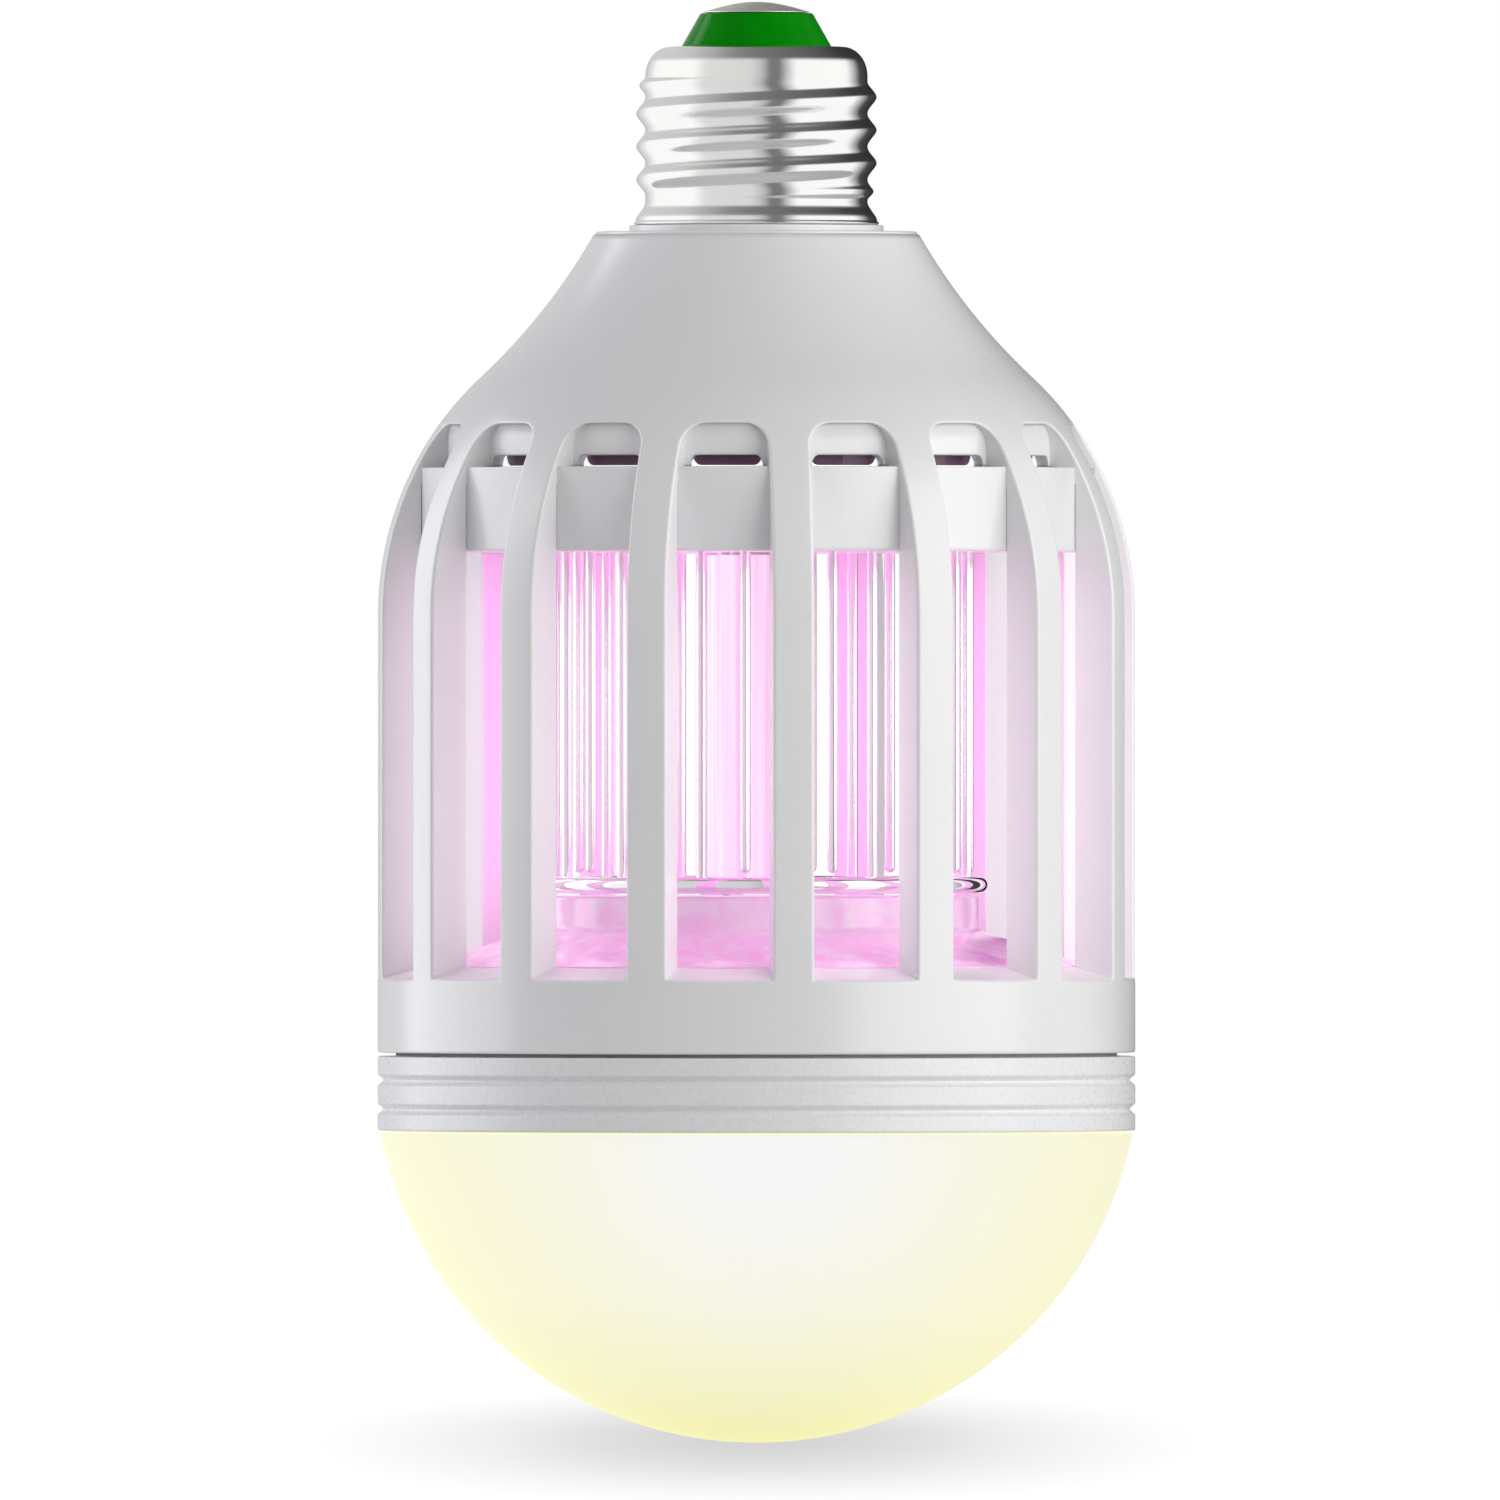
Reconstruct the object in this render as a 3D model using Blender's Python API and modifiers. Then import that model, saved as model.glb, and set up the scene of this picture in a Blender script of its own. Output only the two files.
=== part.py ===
"""Insect killer light bulb.

A hanging lamp with a threaded screw cap at the top, a white slotted cage round a high
voltage grid, and an opal light dome at the bottom. The lamp's axis is the Z axis and the
neck's top face is at z = 0, so the cap stands above the origin and the cage hangs below.
"""
import math

import bmesh
import bpy
import numpy as np

# Every size below is in millimetres. MM turns it into metres.
MM = 0.001

# Round steps: how many flats make a full turn, and how many make a stretch of an arc.
STEPS_BODY = 48
STEPS_LIGHT = 40
STEPS_INNER = 32
STEPS_CAP = 24
STEPS_SMALL = 12
STEPS_ROD = 6
STEPS_ROD_HOLE = 6
SMOOTH_DEG = 35.0
HOLLOW_STEPS = 4
FULL_STEPS = 8
CORNER_STEPS = 3
DOME_STEPS = 8
DOME_INNER_STEPS = 4

# Small edges, the gap between pieces that touch, and how far a cutter runs past a face.
EDGE = 0.25
GAP = 0.3
CUT_PAST = 1.0

# The screw cap, a standard 26.4 mm thread.
THREAD_CREST_R = 13.2
THREAD_ROOT_R = 12.24
THREAD_PITCH = 3.629
THREAD_FIRST_CREST = 10.2
THREAD_LOW = 3.6
THREAD_HIGH = 17.6
THREAD_FADE = 1.6
THREAD_ROWS = 24
SHELL_BORE_R = 11.5
SHELL_RIM_R = 13.45
SHELL_RIM_Z = 1.0
SHELL_RIM_WIDTH = 0.75
SHELL_TOP_Z = 20.3
SHELL_TOP_FLAT_R = 9.9
SHELL_TOP_HOLE_R = 8.5
SHELL_CEILING_Z = 19.6
SHELL_CEILING_CORNER = 2.0
INSULATOR_LOW_R = 8.2
INSULATOR_HIGH_R = 6.15
INSULATOR_TOP_Z = 24.0
INSULATOR_PLUG_Z = 18.4
INSULATOR_HOLE_R = 1.9
CONTACT_R = 5.95
CONTACT_BASE_Z = 24.2
CONTACT_TOP_Z = 25.25
CONTACT_DOME = 0.8
CONTACT_STEM_R = 1.6
CONTACT_STEM_Z = 17.0

# The neck and the shoulder. The shoulder is a hollow arc that runs into a full arc, each
# with its centre's radius and height and its own radius.
NECK_R = 17.69
BOSS_R = 13.95
BOSS_Z = 0.7
SPIGOT_R = 11.2
SPIGOT_BORE_R = 9.4
SPIGOT_TOP_Z = 12.0
HOLLOW_ARC = (76.2, 33.2, 67.27)
FULL_ARC = (6.0, -42.0, 35.6)
WALL = 2.2
BODY_R = 41.6

# The cage: parallel-sided ribs with slots between them, and a skirt inside the slot heads.
RIBS = 16
RIB_WIDTH = 4.5
RIB_INNER_R = 37.2
SLOT_NEAR_R = 30.0
SLOT_FAR_R = 46.0
SLOT_TOP_Z = -21.2
SLOT_CORNER = 2.5
SLOT_FLOOR_Z = -82.1
FLOOR_SLOPE = 0.316
FLOOR_EDGE_R = 41.5
SKIRT_R = 34.35
SKIRT_BORE_R = 32.9
SKIRT_Z = -25.9
WINDOW_HALF = 3.6
WINDOW_TOP_Z = -24.7
WINDOW_CORNER = 0.9
RING_BOTTOM_Z = -90.1
REBATE_R = 39.9
REBATE_Z = -86.0

# The driver board in the shoulder, and the screws that hold it to the grid's holder.
BOARD_R = 32.4
BOARD_TOP_Z = -24.3
BOARD_LOW_Z = -25.9
BOARD_HOLE_R = 1.2
PART_Z = BOARD_TOP_Z + GAP
SCREW_CIRCLE_R = 28.6
SCREW_TURNS_DEG = (45.0, 165.0, 285.0)
SCREW_HEAD_R = 2.0
SCREW_HEAD_HEIGHT = 1.4
SCREW_SHANK_R = 0.85
SCREW_LENGTH = 7.0
SCREW_SLOT_WIDTH = 0.5
SCREW_SLOT_DEPTH = 0.6

# What stands on the driver board: places are corners or centres in the board's plane.
CORE_LOW = (-17.0, -3.5)
CORE_HIGH = (-1.0, 7.5)
CORE_HEIGHT = 11.0
CORE_LEG = 2.5
COIL_OVERHANG = 1.9
COIL_EDGE = 1.0
FILM_LOW = (3.0, -12.0)
FILM_HIGH = (14.0, -6.5)
FILM_HEIGHT = 9.5
FILM_EDGE = 0.8
TALL_CAN = (9.0, 7.5)
TALL_CAN_R = 5.0
TALL_CAN_HEIGHT = 15.7
SMALL_CAN = (-16.0, -9.0)
SMALL_CAN_R = 3.0
SMALL_CAN_HEIGHT = 8.0
CAN_CRIMP_Z = 2.0
CHOKE_PLACE = (-6.0, -12.5)
CHOKE_R = 4.0
CHOKE_CORE_R = 3.0
CHOKE_FLANGE = 1.2
CHOKE_HEIGHT = 6.5

# The leads from the cap to the driver board.
LEAD_R = 0.6
LIVE_ROUTE = [(0.0, 0.0, 16.6), (0.0, 0.0, 8.0), (1.5, -1.0, -4.0), (1.2, -2.0, -16.0),
              (1.2, -2.0, -23.9)]
NEUTRAL_ROUTE = [(10.8, 0.0, 14.6), (8.4, 0.0, 14.8), (6.2, 0.0, 12.0), (5.6, 0.0, 0.0),
                 (4.2, 1.0, -12.0), (3.8, 0.6, -23.9)]

# The grid: steel rods that hang between a top holder and a base.
HOLDER_R = 36.9
HOLDER_WALL = 2.0
HOLDER_TOP_Z = -26.15
HOLDER_LOW_Z = -35.2
HOLDER_FLOOR = 2.2
HOLDER_LOW_EDGE = 0.35
SCREW_BOSS_R = 2.6
SCREW_BOSS_LOW_Z = -34.0
PILOT_R = 1.15
PILOT_LOW_Z = -31.5
CENTRE_HOLE_R = 4.6
RODS = 30
ROD_R = 0.6
ROD_CIRCLE_R = 23.3
ROD_TURN_DEG = 2.6
ROD_HOLE_R = 0.9
LIVE_ROD_LOW_Z = -70.4
NEUTRAL_ROD_TOP_Z = -34.0
BUS_Z = -31.6
BUS_TUBE_R = 1.0
BUS_SIDES = 6
LOWER_RING_R = 24.45
LOWER_RING_TUBE_R = 0.93
LOWER_RING_Z = -71.7
LOWER_RING_SIDES = 8

# The ultraviolet column in the middle of the grid.
COLUMN_R = 5.4
COLUMN_BORE_R = 4.4
COLUMN_TOP_Z = HOLDER_LOW_Z - GAP
COLUMN_LOW_Z = -72.6
COLUMN_STEPS = 24
COLUMN_BOARD_WIDTH = 5.0
COLUMN_BOARD_THICK = 1.2
COLUMN_BOARD_TOP_Z = -27.0
COLUMN_BOARD_LOW_Z = -72.3
CHIP_HEIGHTS = (-42.0, -53.5, -65.0)
CHIP_WIDTH = 2.8
CHIP_HEIGHT = 3.5
CHIP_THICK = 1.0

# The base under the grid, with a sloped floor that lets dead insects slide out.
PEDESTAL_R = 24.4
PEDESTAL_TOP_Z = -72.9
PEDESTAL_EDGE = 0.4
BASE_R = 36.9
BASE_WALL = 1.8
BASE_LOW_Z = -92.9

# The light head: a grooved metal collar, a light board and an opal dome.
COLLAR_TOP_Z = -90.5
COLLAR_LOW_Z = -98.65
COLLAR_SPIGOT_R = 39.6
COLLAR_SPIGOT_BORE_R = 37.6
COLLAR_SPIGOT_Z = -86.3
COLLAR_PLATE_TOP_Z = -93.2
COLLAR_PLATE_LOW_Z = -95.2
COLLAR_SKIRT_BORE_R = 39.7
GROOVES_Z = (-93.1, -96.3)
GROOVE_HALF = 1.45
GROOVE_FLAT = 0.5
GROOVE_DEPTH = 0.55
LIGHT_BOARD_R = 35.0
LIGHT_BOARD_TOP_Z = -95.5
LIGHT_BOARD_LOW_Z = -96.9
LIGHT_CHIPS = 8
LIGHT_CHIP_CIRCLE_R = 24.0
LIGHT_CHIP_SIZE = 3.5
LIGHT_CHIP_THICK = 0.8
LIGHT_LEAD_X = 3.4
LIGHT_LEAD_R = 0.45
LIGHT_LEAD_TOP_Z = -26.3
DOME_R = 42.05
DOME_CENTRE_Z = -90.9
DOME_RIM_Z = -98.9
DOME_WALL = 1.8
DOME_SPIGOT_R = 39.4
DOME_SPIGOT_BORE_R = 37.9
DOME_SPIGOT_Z = -96.0

# Each material: linear red, green and blue, then the metallic value and the roughness.
FINISHES = {
    "contact_metal": ((0.8, 0.79, 0.75), 1.0, 0.25),
    "cap_insulator": ((0.02, 0.3, 0.06), 0.0, 0.15),
    "shell_nickel": ((0.72, 0.7, 0.68), 1.0, 0.2),
    "white_moulding": ((0.82, 0.82, 0.84), 0.0, 0.35),
    "driver_board": ((0.06, 0.03, 0.06), 0.0, 0.5),
    "screw_steel": ((0.6, 0.6, 0.62), 1.0, 0.3),
    "ferrite": ((0.05, 0.05, 0.05), 0.0, 0.6),
    "coil_tape": ((0.85, 0.65, 0.1), 0.0, 0.4),
    "capacitor_can": ((0.05, 0.06, 0.15), 0.0, 0.3),
    "film_capacitor": ((0.45, 0.08, 0.05), 0.0, 0.3),
    "live_wire": ((0.5, 0.03, 0.03), 0.0, 0.4),
    "white_wire": ((0.8, 0.8, 0.8), 0.0, 0.4),
    "grid_steel": ((0.75, 0.75, 0.76), 1.0, 0.2),
    "ring_chrome": ((0.85, 0.85, 0.87), 1.0, 0.08),
    "column_tube": ((0.95, 0.62, 0.88), 0.0, 0.3),
    "column_chip": ((0.85, 0.5, 0.95), 0.0, 0.3),
    "collar_paint": ((0.8, 0.8, 0.82), 0.0, 0.35),
    "light_board": ((0.85, 0.85, 0.85), 0.0, 0.4),
    "light_chip": ((0.95, 0.8, 0.35), 0.0, 0.3),
    "opal_dome": ((0.96, 0.95, 0.8), 0.0, 0.3),
}


def clear_scene():
    """Empty the file that Blender starts with."""
    for thing in list(bpy.data.objects):
        bpy.data.objects.remove(thing, do_unlink=True)


def make_collection(name):
    """A new collection in the scene."""
    collection = bpy.data.collections.new(name)
    bpy.context.scene.collection.children.link(collection)
    return collection


def make_materials():
    """A Principled material for each finish."""
    made = {}
    for name, (colour, metallic, roughness) in FINISHES.items():
        material = bpy.data.materials.new(name)
        material.use_nodes = True
        shader = material.node_tree.nodes["Principled BSDF"]
        shader.inputs["Base Color"].default_value = (*colour, 1.0)
        shader.inputs["Metallic"].default_value = metallic
        shader.inputs["Roughness"].default_value = roughness
        made[name] = material
    return made


def add_object(name, mesh, collection, material=None):
    """Put a mesh in the scene as an object."""
    thing = bpy.data.objects.new(name, mesh)
    collection.objects.link(thing)
    if material is not None:
        mesh.materials.append(material)
    return thing


def mesh_from(vertices, edges, faces, name):
    """A mesh from millimetre points."""
    mesh = bpy.data.meshes.new(name)
    mesh.from_pydata([tuple(c * MM for c in v) for v in vertices], edges, faces)
    mesh.update()
    return mesh


def revolve(name, profile, collection, material, steps, centre=(0.0, 0.0), closed=True):
    """Turn a profile of (radius, height) points round the Z axis with a Screw modifier.

    The outer side of the profile runs from top to bottom. An open profile starts and ends
    on the axis. The centre places the turned piece beside the lamp's axis.
    """
    points = [(r, 0.0, z) for r, z in profile]
    count = len(points)
    edges = [(i, i + 1) for i in range(count - 1)]
    if closed:
        edges.append((count - 1, 0))
    thing = add_object(name, mesh_from(points, edges, [], name), collection, material)
    thing.location = (centre[0] * MM, centre[1] * MM, 0.0)
    screw = thing.modifiers.new("Turn", "SCREW")
    screw.axis = "Z"
    screw.steps = steps
    screw.render_steps = steps
    screw.use_merge_vertices = True
    screw.merge_threshold = 0.00001
    screw.use_smooth_shade = False
    return thing


def disc(name, radius, top, low, collection, material, steps):
    """A flat round plate."""
    profile = [(0.0, top), (radius, top), (radius, low), (0.0, low)]
    return revolve(name, profile, collection, material, steps, closed=False)


def arc(centre, radius, start_deg, end_deg, count):
    """Points of a circle arc, both ends included."""
    angles = np.radians(np.linspace(start_deg, end_deg, count + 1))
    return [(centre[0] + radius * math.cos(a), centre[1] + radius * math.sin(a)) for a in angles]


def box(name, low, high, collection, material, edge=0.0):
    """An upright box between two corners, with its edges rounded where an edge is given."""
    bm = bmesh.new()
    bmesh.ops.create_cube(bm, size=1.0)
    middle = [(a + b) / 2 * MM for a, b in zip(low, high)]
    size = [(b - a) * MM for a, b in zip(low, high)]
    bmesh.ops.scale(bm, vec=size, verts=bm.verts)
    bmesh.ops.translate(bm, vec=middle, verts=bm.verts)
    mesh = bpy.data.meshes.new(name)
    bm.to_mesh(mesh)
    bm.free()
    thing = add_object(name, mesh, collection, material)
    if edge > 0.0:
        bevel = thing.modifiers.new("Edges", "BEVEL")
        bevel.width = edge * MM
        bevel.segments = 2
    return thing


def posts(name, places, radius, low, high, collection, material, sides):
    """Upright round posts in one object, one at each (x, y) place."""
    bm = bmesh.new()
    for x, y in places:
        made = bmesh.ops.create_cone(bm, cap_ends=True, cap_tris=False, segments=sides,
                                     radius1=radius * MM, radius2=radius * MM,
                                     depth=(high - low) * MM)
        bmesh.ops.translate(bm, vec=(x * MM, y * MM, (low + high) / 2 * MM), verts=made["verts"])
    mesh = bpy.data.meshes.new(name)
    bm.to_mesh(mesh)
    bm.free()
    return add_object(name, mesh, collection, material)


def prisms(name, near_section, far_section, near, far, collection):
    """Cutters that loft from one flat section to another, one for each rib's slot.

    A section is a list of (sideways, height) points. near and far are the distances of the
    two sections from the axis, measured along the +X axis before the turn.
    """
    vertices = []
    faces = []
    count = len(near_section)
    for slot in range(RIBS):
        c = math.cos(2 * math.pi * slot / RIBS)
        s = math.sin(2 * math.pi * slot / RIBS)
        base = len(vertices)
        for reach, section in ((near, near_section), (far, far_section)):
            for side, height in section:
                vertices.append((reach * c - side * s, reach * s + side * c, height))
        faces.append([base + i for i in reversed(range(count))])
        faces.append([base + count + i for i in range(count)])
        for i in range(count):
            j = (i + 1) % count
            faces.append([base + i, base + j, base + count + j, base + count + i])
    return add_object(name, mesh_from(vertices, [], faces, name), collection)


def join(thing, other, operation):
    """Add a live Boolean modifier."""
    modifier = thing.modifiers.new(other.name, "BOOLEAN")
    modifier.object = other
    modifier.operation = operation
    modifier.solver = "EXACT"
    return modifier


def evaluated_mesh(thing):
    """An object's mesh with its modifiers worked in."""
    graph = bpy.context.evaluated_depsgraph_get()
    return bpy.data.meshes.new_from_object(thing.evaluated_get(graph))


def wire(name, route, radius, collection, material):
    """A round wire along a smooth curve through the points of its route."""
    curve = bpy.data.curves.new(name, "CURVE")
    curve.dimensions = "3D"
    curve.bevel_depth = radius * MM
    curve.bevel_resolution = 1
    curve.resolution_u = 3
    curve.use_fill_caps = True
    spline = curve.splines.new("NURBS")
    spline.points.add(len(route) - 1)
    for point, place in zip(spline.points, route):
        point.co = (*[c * MM for c in place], 1.0)
    spline.order_u = 3
    spline.use_endpoint_u = True
    source = bpy.data.objects.new(name + "_path", curve)
    bpy.context.scene.collection.objects.link(source)
    mesh = evaluated_mesh(source)
    bpy.data.objects.remove(source, do_unlink=True)
    bm = bmesh.new()
    bm.from_mesh(mesh)
    bmesh.ops.remove_doubles(bm, verts=bm.verts, dist=0.00001)
    bmesh.ops.recalc_face_normals(bm, faces=bm.faces)
    bm.to_mesh(mesh)
    bm.free()
    mesh.materials.clear()
    mesh.name = name
    return add_object(name, mesh, collection, material)


def shade_parts(collection):
    """Fix each part's modifiers into its mesh, smooth where it is round and sharp at its edges."""
    made = [(thing, evaluated_mesh(thing)) for thing in collection.objects]
    for thing, mesh in made:
        thing.modifiers.clear()
        thing.data = mesh
        mesh.shade_smooth()
        mesh.set_sharp_from_angle(angle=math.radians(SMOOTH_DEG))


def hide_cutters(collection):
    """Cutters show as wires and stay out of renders."""
    for thing in collection.objects:
        thing.hide_render = True
        thing.display_type = "WIRE"


def shoulder_profile():
    """The housing's outer curve from the neck's edge down to the straight wall."""
    ax, az, ar = HOLLOW_ARC
    bx, bz, br = FULL_ARC
    start = math.degrees(math.atan2(-EDGE - az, -math.sqrt(ar ** 2 - (az + EDGE) ** 2)))
    meet = math.degrees(math.atan2(bz - az, bx - ax))
    hollow = arc((ax, az), ar, start + 360, meet + 360, HOLLOW_STEPS)
    full = arc((bx, bz), br, meet + 180, 0, FULL_STEPS)
    return hollow + full[1:]


def shoulder_inside():
    """The inner curve, one wall thickness in, from the skirt up to the neck's ceiling."""
    ax, az, ar = HOLLOW_ARC
    bx, bz, br = FULL_ARC
    ar = ar + WALL
    br = br - WALL
    low = math.degrees(math.acos((SKIRT_BORE_R - bx) / br))
    meet = math.degrees(math.atan2(bz - az, bx - ax))
    top = math.degrees(math.atan2(-WALL - az, -math.sqrt(ar ** 2 - (az + WALL) ** 2)))
    full = arc((bx, bz), br, low, meet + 180, 2)
    hollow = arc((ax, az), ar, meet + 360, top + 360, 3)
    return full + hollow[1:]


def slot_half(reach):
    """Half a slot's width at a distance from the axis, between two parallel-sided ribs."""
    half_pitch = math.radians(180.0 / RIBS)
    return reach * math.tan(half_pitch) - RIB_WIDTH / 2 / math.cos(half_pitch)


def floor_z(reach):
    """The height of the sloped floor, which the slots and the base share."""
    return SLOT_FLOOR_Z + (FLOOR_EDGE_R - reach) * FLOOR_SLOPE


def slot_section(reach):
    """A slot's outline: square at the bottom, round at the two top corners."""
    half = slot_half(reach)
    head = SLOT_TOP_Z - SLOT_CORNER
    right = arc((half - SLOT_CORNER, head), SLOT_CORNER, 0, 90, CORNER_STEPS)
    left = arc((SLOT_CORNER - half, head), SLOT_CORNER, 90, 180, CORNER_STEPS)
    return [(half, floor_z(reach))] + right + left + [(-half, floor_z(reach))]


def window_section():
    """A notch in the skirt's lower edge, with clipped top corners."""
    low = SKIRT_Z - CUT_PAST
    clip_z = WINDOW_TOP_Z - WINDOW_CORNER
    clip_x = WINDOW_HALF - WINDOW_CORNER
    return [(WINDOW_HALF, low), (WINDOW_HALF, clip_z), (clip_x, WINDOW_TOP_Z),
            (-clip_x, WINDOW_TOP_Z), (-WINDOW_HALF, clip_z), (-WINDOW_HALF, low)]


def build_housing(parts, cutters, material):
    """The one-piece housing: neck, shoulder, cage ribs, skirt and lower ring."""
    profile = [(SPIGOT_R, SPIGOT_TOP_Z), (SPIGOT_R, BOSS_Z), (BOSS_R, BOSS_Z), (BOSS_R, 0.0),
               (NECK_R - EDGE, 0.0)]
    profile += shoulder_profile()
    profile += [(BODY_R, RING_BOTTOM_Z + EDGE), (BODY_R - EDGE, RING_BOTTOM_Z),
                (REBATE_R, RING_BOTTOM_Z), (REBATE_R, REBATE_Z), (RIB_INNER_R, REBATE_Z),
                (RIB_INNER_R, SKIRT_Z), (SKIRT_BORE_R, SKIRT_Z)]
    profile += shoulder_inside()
    profile += [(SPIGOT_BORE_R, -WALL), (SPIGOT_BORE_R, SPIGOT_TOP_Z)]
    housing = revolve("cage_housing", profile, parts, material, STEPS_BODY)
    slots = prisms("cut_slots", slot_section(SLOT_NEAR_R), slot_section(SLOT_FAR_R),
                   SLOT_NEAR_R, SLOT_FAR_R, cutters)
    skirt = disc("keep_skirt", SKIRT_R, 0.0, RING_BOTTOM_Z, cutters, None, STEPS_BODY)
    join(slots, skirt, "DIFFERENCE")
    windows = prisms("cut_windows", window_section(), window_section(),
                     SKIRT_BORE_R - CUT_PAST, SKIRT_R + CUT_PAST, cutters)
    join(housing, slots, "DIFFERENCE")
    join(housing, windows, "DIFFERENCE")


def thread_radius(angle, z):
    """The shell's outer radius on its threaded stretch.

    The angle is counted from the front, toward +X, so the thread is right-handed. The
    thread fades out at both ends.
    """
    phase = (z - THREAD_FIRST_CREST) / THREAD_PITCH - angle / (2 * math.pi)
    fade = min(1.0, (THREAD_HIGH - z) / THREAD_FADE, (z - THREAD_LOW) / THREAD_FADE)
    rise = (THREAD_CREST_R - THREAD_ROOT_R) * (0.5 + 0.5 * math.cos(2 * math.pi * phase))
    return THREAD_ROOT_R + rise * max(0.0, fade)


def build_shell(parts, material):
    """The threaded shell: a turned wall whose outer rows are pushed out along a helix."""
    corner_r = THREAD_ROOT_R - SHELL_TOP_FLAT_R
    flare_r = SHELL_RIM_R - THREAD_ROOT_R
    rim_top = SHELL_RIM_Z + GAP
    profile = [(SHELL_TOP_HOLE_R, SHELL_TOP_Z)]
    profile += arc((SHELL_TOP_FLAT_R, SHELL_TOP_Z - corner_r), corner_r, 90, 20, 3)
    profile += [(THREAD_ROOT_R, z) for z in np.linspace(THREAD_HIGH, THREAD_LOW, THREAD_ROWS)]
    profile += arc((SHELL_RIM_R, rim_top + flare_r), flare_r, 180, 270, 2)
    profile += [(SHELL_RIM_R, SHELL_RIM_Z), (SHELL_RIM_R - SHELL_RIM_WIDTH, SHELL_RIM_Z),
                (SHELL_BORE_R, rim_top + flare_r),
                (SHELL_BORE_R, SHELL_CEILING_Z - SHELL_CEILING_CORNER),
                (SHELL_BORE_R - SHELL_CEILING_CORNER, SHELL_CEILING_Z),
                (SHELL_TOP_HOLE_R, SHELL_CEILING_Z)]
    shell = revolve("screw_shell", profile, parts, material, STEPS_CAP)
    mesh = evaluated_mesh(shell)
    shell.modifiers.clear()
    shell.data = mesh
    bm = bmesh.new()
    bm.from_mesh(mesh)
    middle_r = (THREAD_ROOT_R + SHELL_BORE_R) / 2
    for vertex in bm.verts:
        x, y, z = (c / MM for c in vertex.co)
        radius = math.hypot(x, y)
        if radius > middle_r and THREAD_LOW < z < THREAD_HIGH:
            grown = thread_radius(math.atan2(x, -y), z) / radius
            vertex.co.x *= grown
            vertex.co.y *= grown
    bm.to_mesh(mesh)
    bm.free()


def build_insulator(parts, material):
    """The glass-like cone between the shell and the centre contact."""
    revolve("cap_insulator",
            [(INSULATOR_HOLE_R, INSULATOR_TOP_Z), (INSULATOR_HIGH_R - EDGE, INSULATOR_TOP_Z),
             (INSULATOR_HIGH_R, INSULATOR_TOP_Z - EDGE), (INSULATOR_LOW_R, SHELL_TOP_Z),
             (INSULATOR_LOW_R, INSULATOR_PLUG_Z), (INSULATOR_HOLE_R, INSULATOR_PLUG_Z)],
            parts, material, STEPS_CAP)


def build_contact(parts, material):
    """The domed centre contact with its stem."""
    angles = np.radians(np.linspace(0.0, 90.0, 5))
    profile = [(CONTACT_R * math.sin(a), CONTACT_TOP_Z - CONTACT_DOME * (1 - math.cos(a)))
               for a in angles]
    profile += [(CONTACT_R, CONTACT_BASE_Z), (CONTACT_STEM_R, CONTACT_BASE_Z),
                (CONTACT_STEM_R, CONTACT_STEM_Z), (0.0, CONTACT_STEM_Z)]
    revolve("centre_contact", profile, parts, material, STEPS_CAP, closed=False)


def screw_places():
    """Where the three board screws stand."""
    return [(SCREW_CIRCLE_R * math.cos(math.radians(a)), SCREW_CIRCLE_R * math.sin(math.radians(a)))
            for a in SCREW_TURNS_DEG]


def build_board(parts, cutters, material):
    """The driver board with its three screw holes."""
    board = disc("driver_board", BOARD_R, BOARD_TOP_Z, BOARD_LOW_Z, parts, material, STEPS_INNER)
    holes = posts("cut_board_holes", screw_places(), BOARD_HOLE_R, BOARD_LOW_Z - CUT_PAST,
                  BOARD_TOP_Z + CUT_PAST, cutters, None, STEPS_ROD)
    join(board, holes, "DIFFERENCE")


def build_board_screw(number, x, y, parts, cutters, material):
    """A pan-head screw with a driver slot, head up."""
    top = PART_Z + SCREW_HEAD_HEIGHT
    low = PART_Z - SCREW_LENGTH
    head = [(0.0, top), (SCREW_HEAD_R * 0.7, top - 0.1), (SCREW_HEAD_R, top - SCREW_HEAD_HEIGHT / 2),
            (SCREW_HEAD_R, PART_Z)]
    shank = [(SCREW_SHANK_R, PART_Z), (SCREW_SHANK_R, low), (0.0, low)]
    thing = revolve("board_screw_%d" % number, head + shank, parts, material, STEPS_SMALL,
                    centre=(x, y), closed=False)
    half = SCREW_SLOT_WIDTH / 2
    reach = SCREW_HEAD_R + CUT_PAST
    slot = box("cut_screw_slot_%d" % number, (x - reach, y - half, top - SCREW_SLOT_DEPTH),
               (x + reach, y + half, top + CUT_PAST), cutters, None)
    join(thing, slot, "DIFFERENCE")


def build_transformer(parts, cutters, mats):
    """A square ferrite frame with a taped coil through its window."""
    top = PART_Z + CORE_HEIGHT
    core = box("transformer_core", (*CORE_LOW, PART_Z), (*CORE_HIGH, top), parts, mats["ferrite"])
    inner_low = (CORE_LOW[0] + CORE_LEG, PART_Z + CORE_LEG)
    inner_high = (CORE_HIGH[0] - CORE_LEG, top - CORE_LEG)
    front = CORE_LOW[1] - COIL_OVERHANG
    back = CORE_HIGH[1] + COIL_OVERHANG
    window = box("cut_core_window", (inner_low[0], front, inner_low[1]),
                 (inner_high[0], back, inner_high[1]), cutters, None)
    join(core, window, "DIFFERENCE")
    box("transformer_coil", (inner_low[0] + GAP, front, inner_low[1] + GAP),
        (inner_high[0] - GAP, back, inner_high[1] - GAP), parts, mats["coil_tape"], COIL_EDGE)


def build_can(name, place, radius, height, parts, material):
    """A round capacitor can with a crimped groove near its foot."""
    top = PART_Z + height
    crimp = PART_Z + CAN_CRIMP_Z
    revolve(name, [(0.0, top), (radius - EDGE, top), (radius, top - EDGE), (radius, crimp + EDGE),
                   (radius - EDGE, crimp), (radius, crimp - EDGE), (radius, PART_Z), (0.0, PART_Z)],
            parts, material, STEPS_SMALL, centre=place, closed=False)


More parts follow.
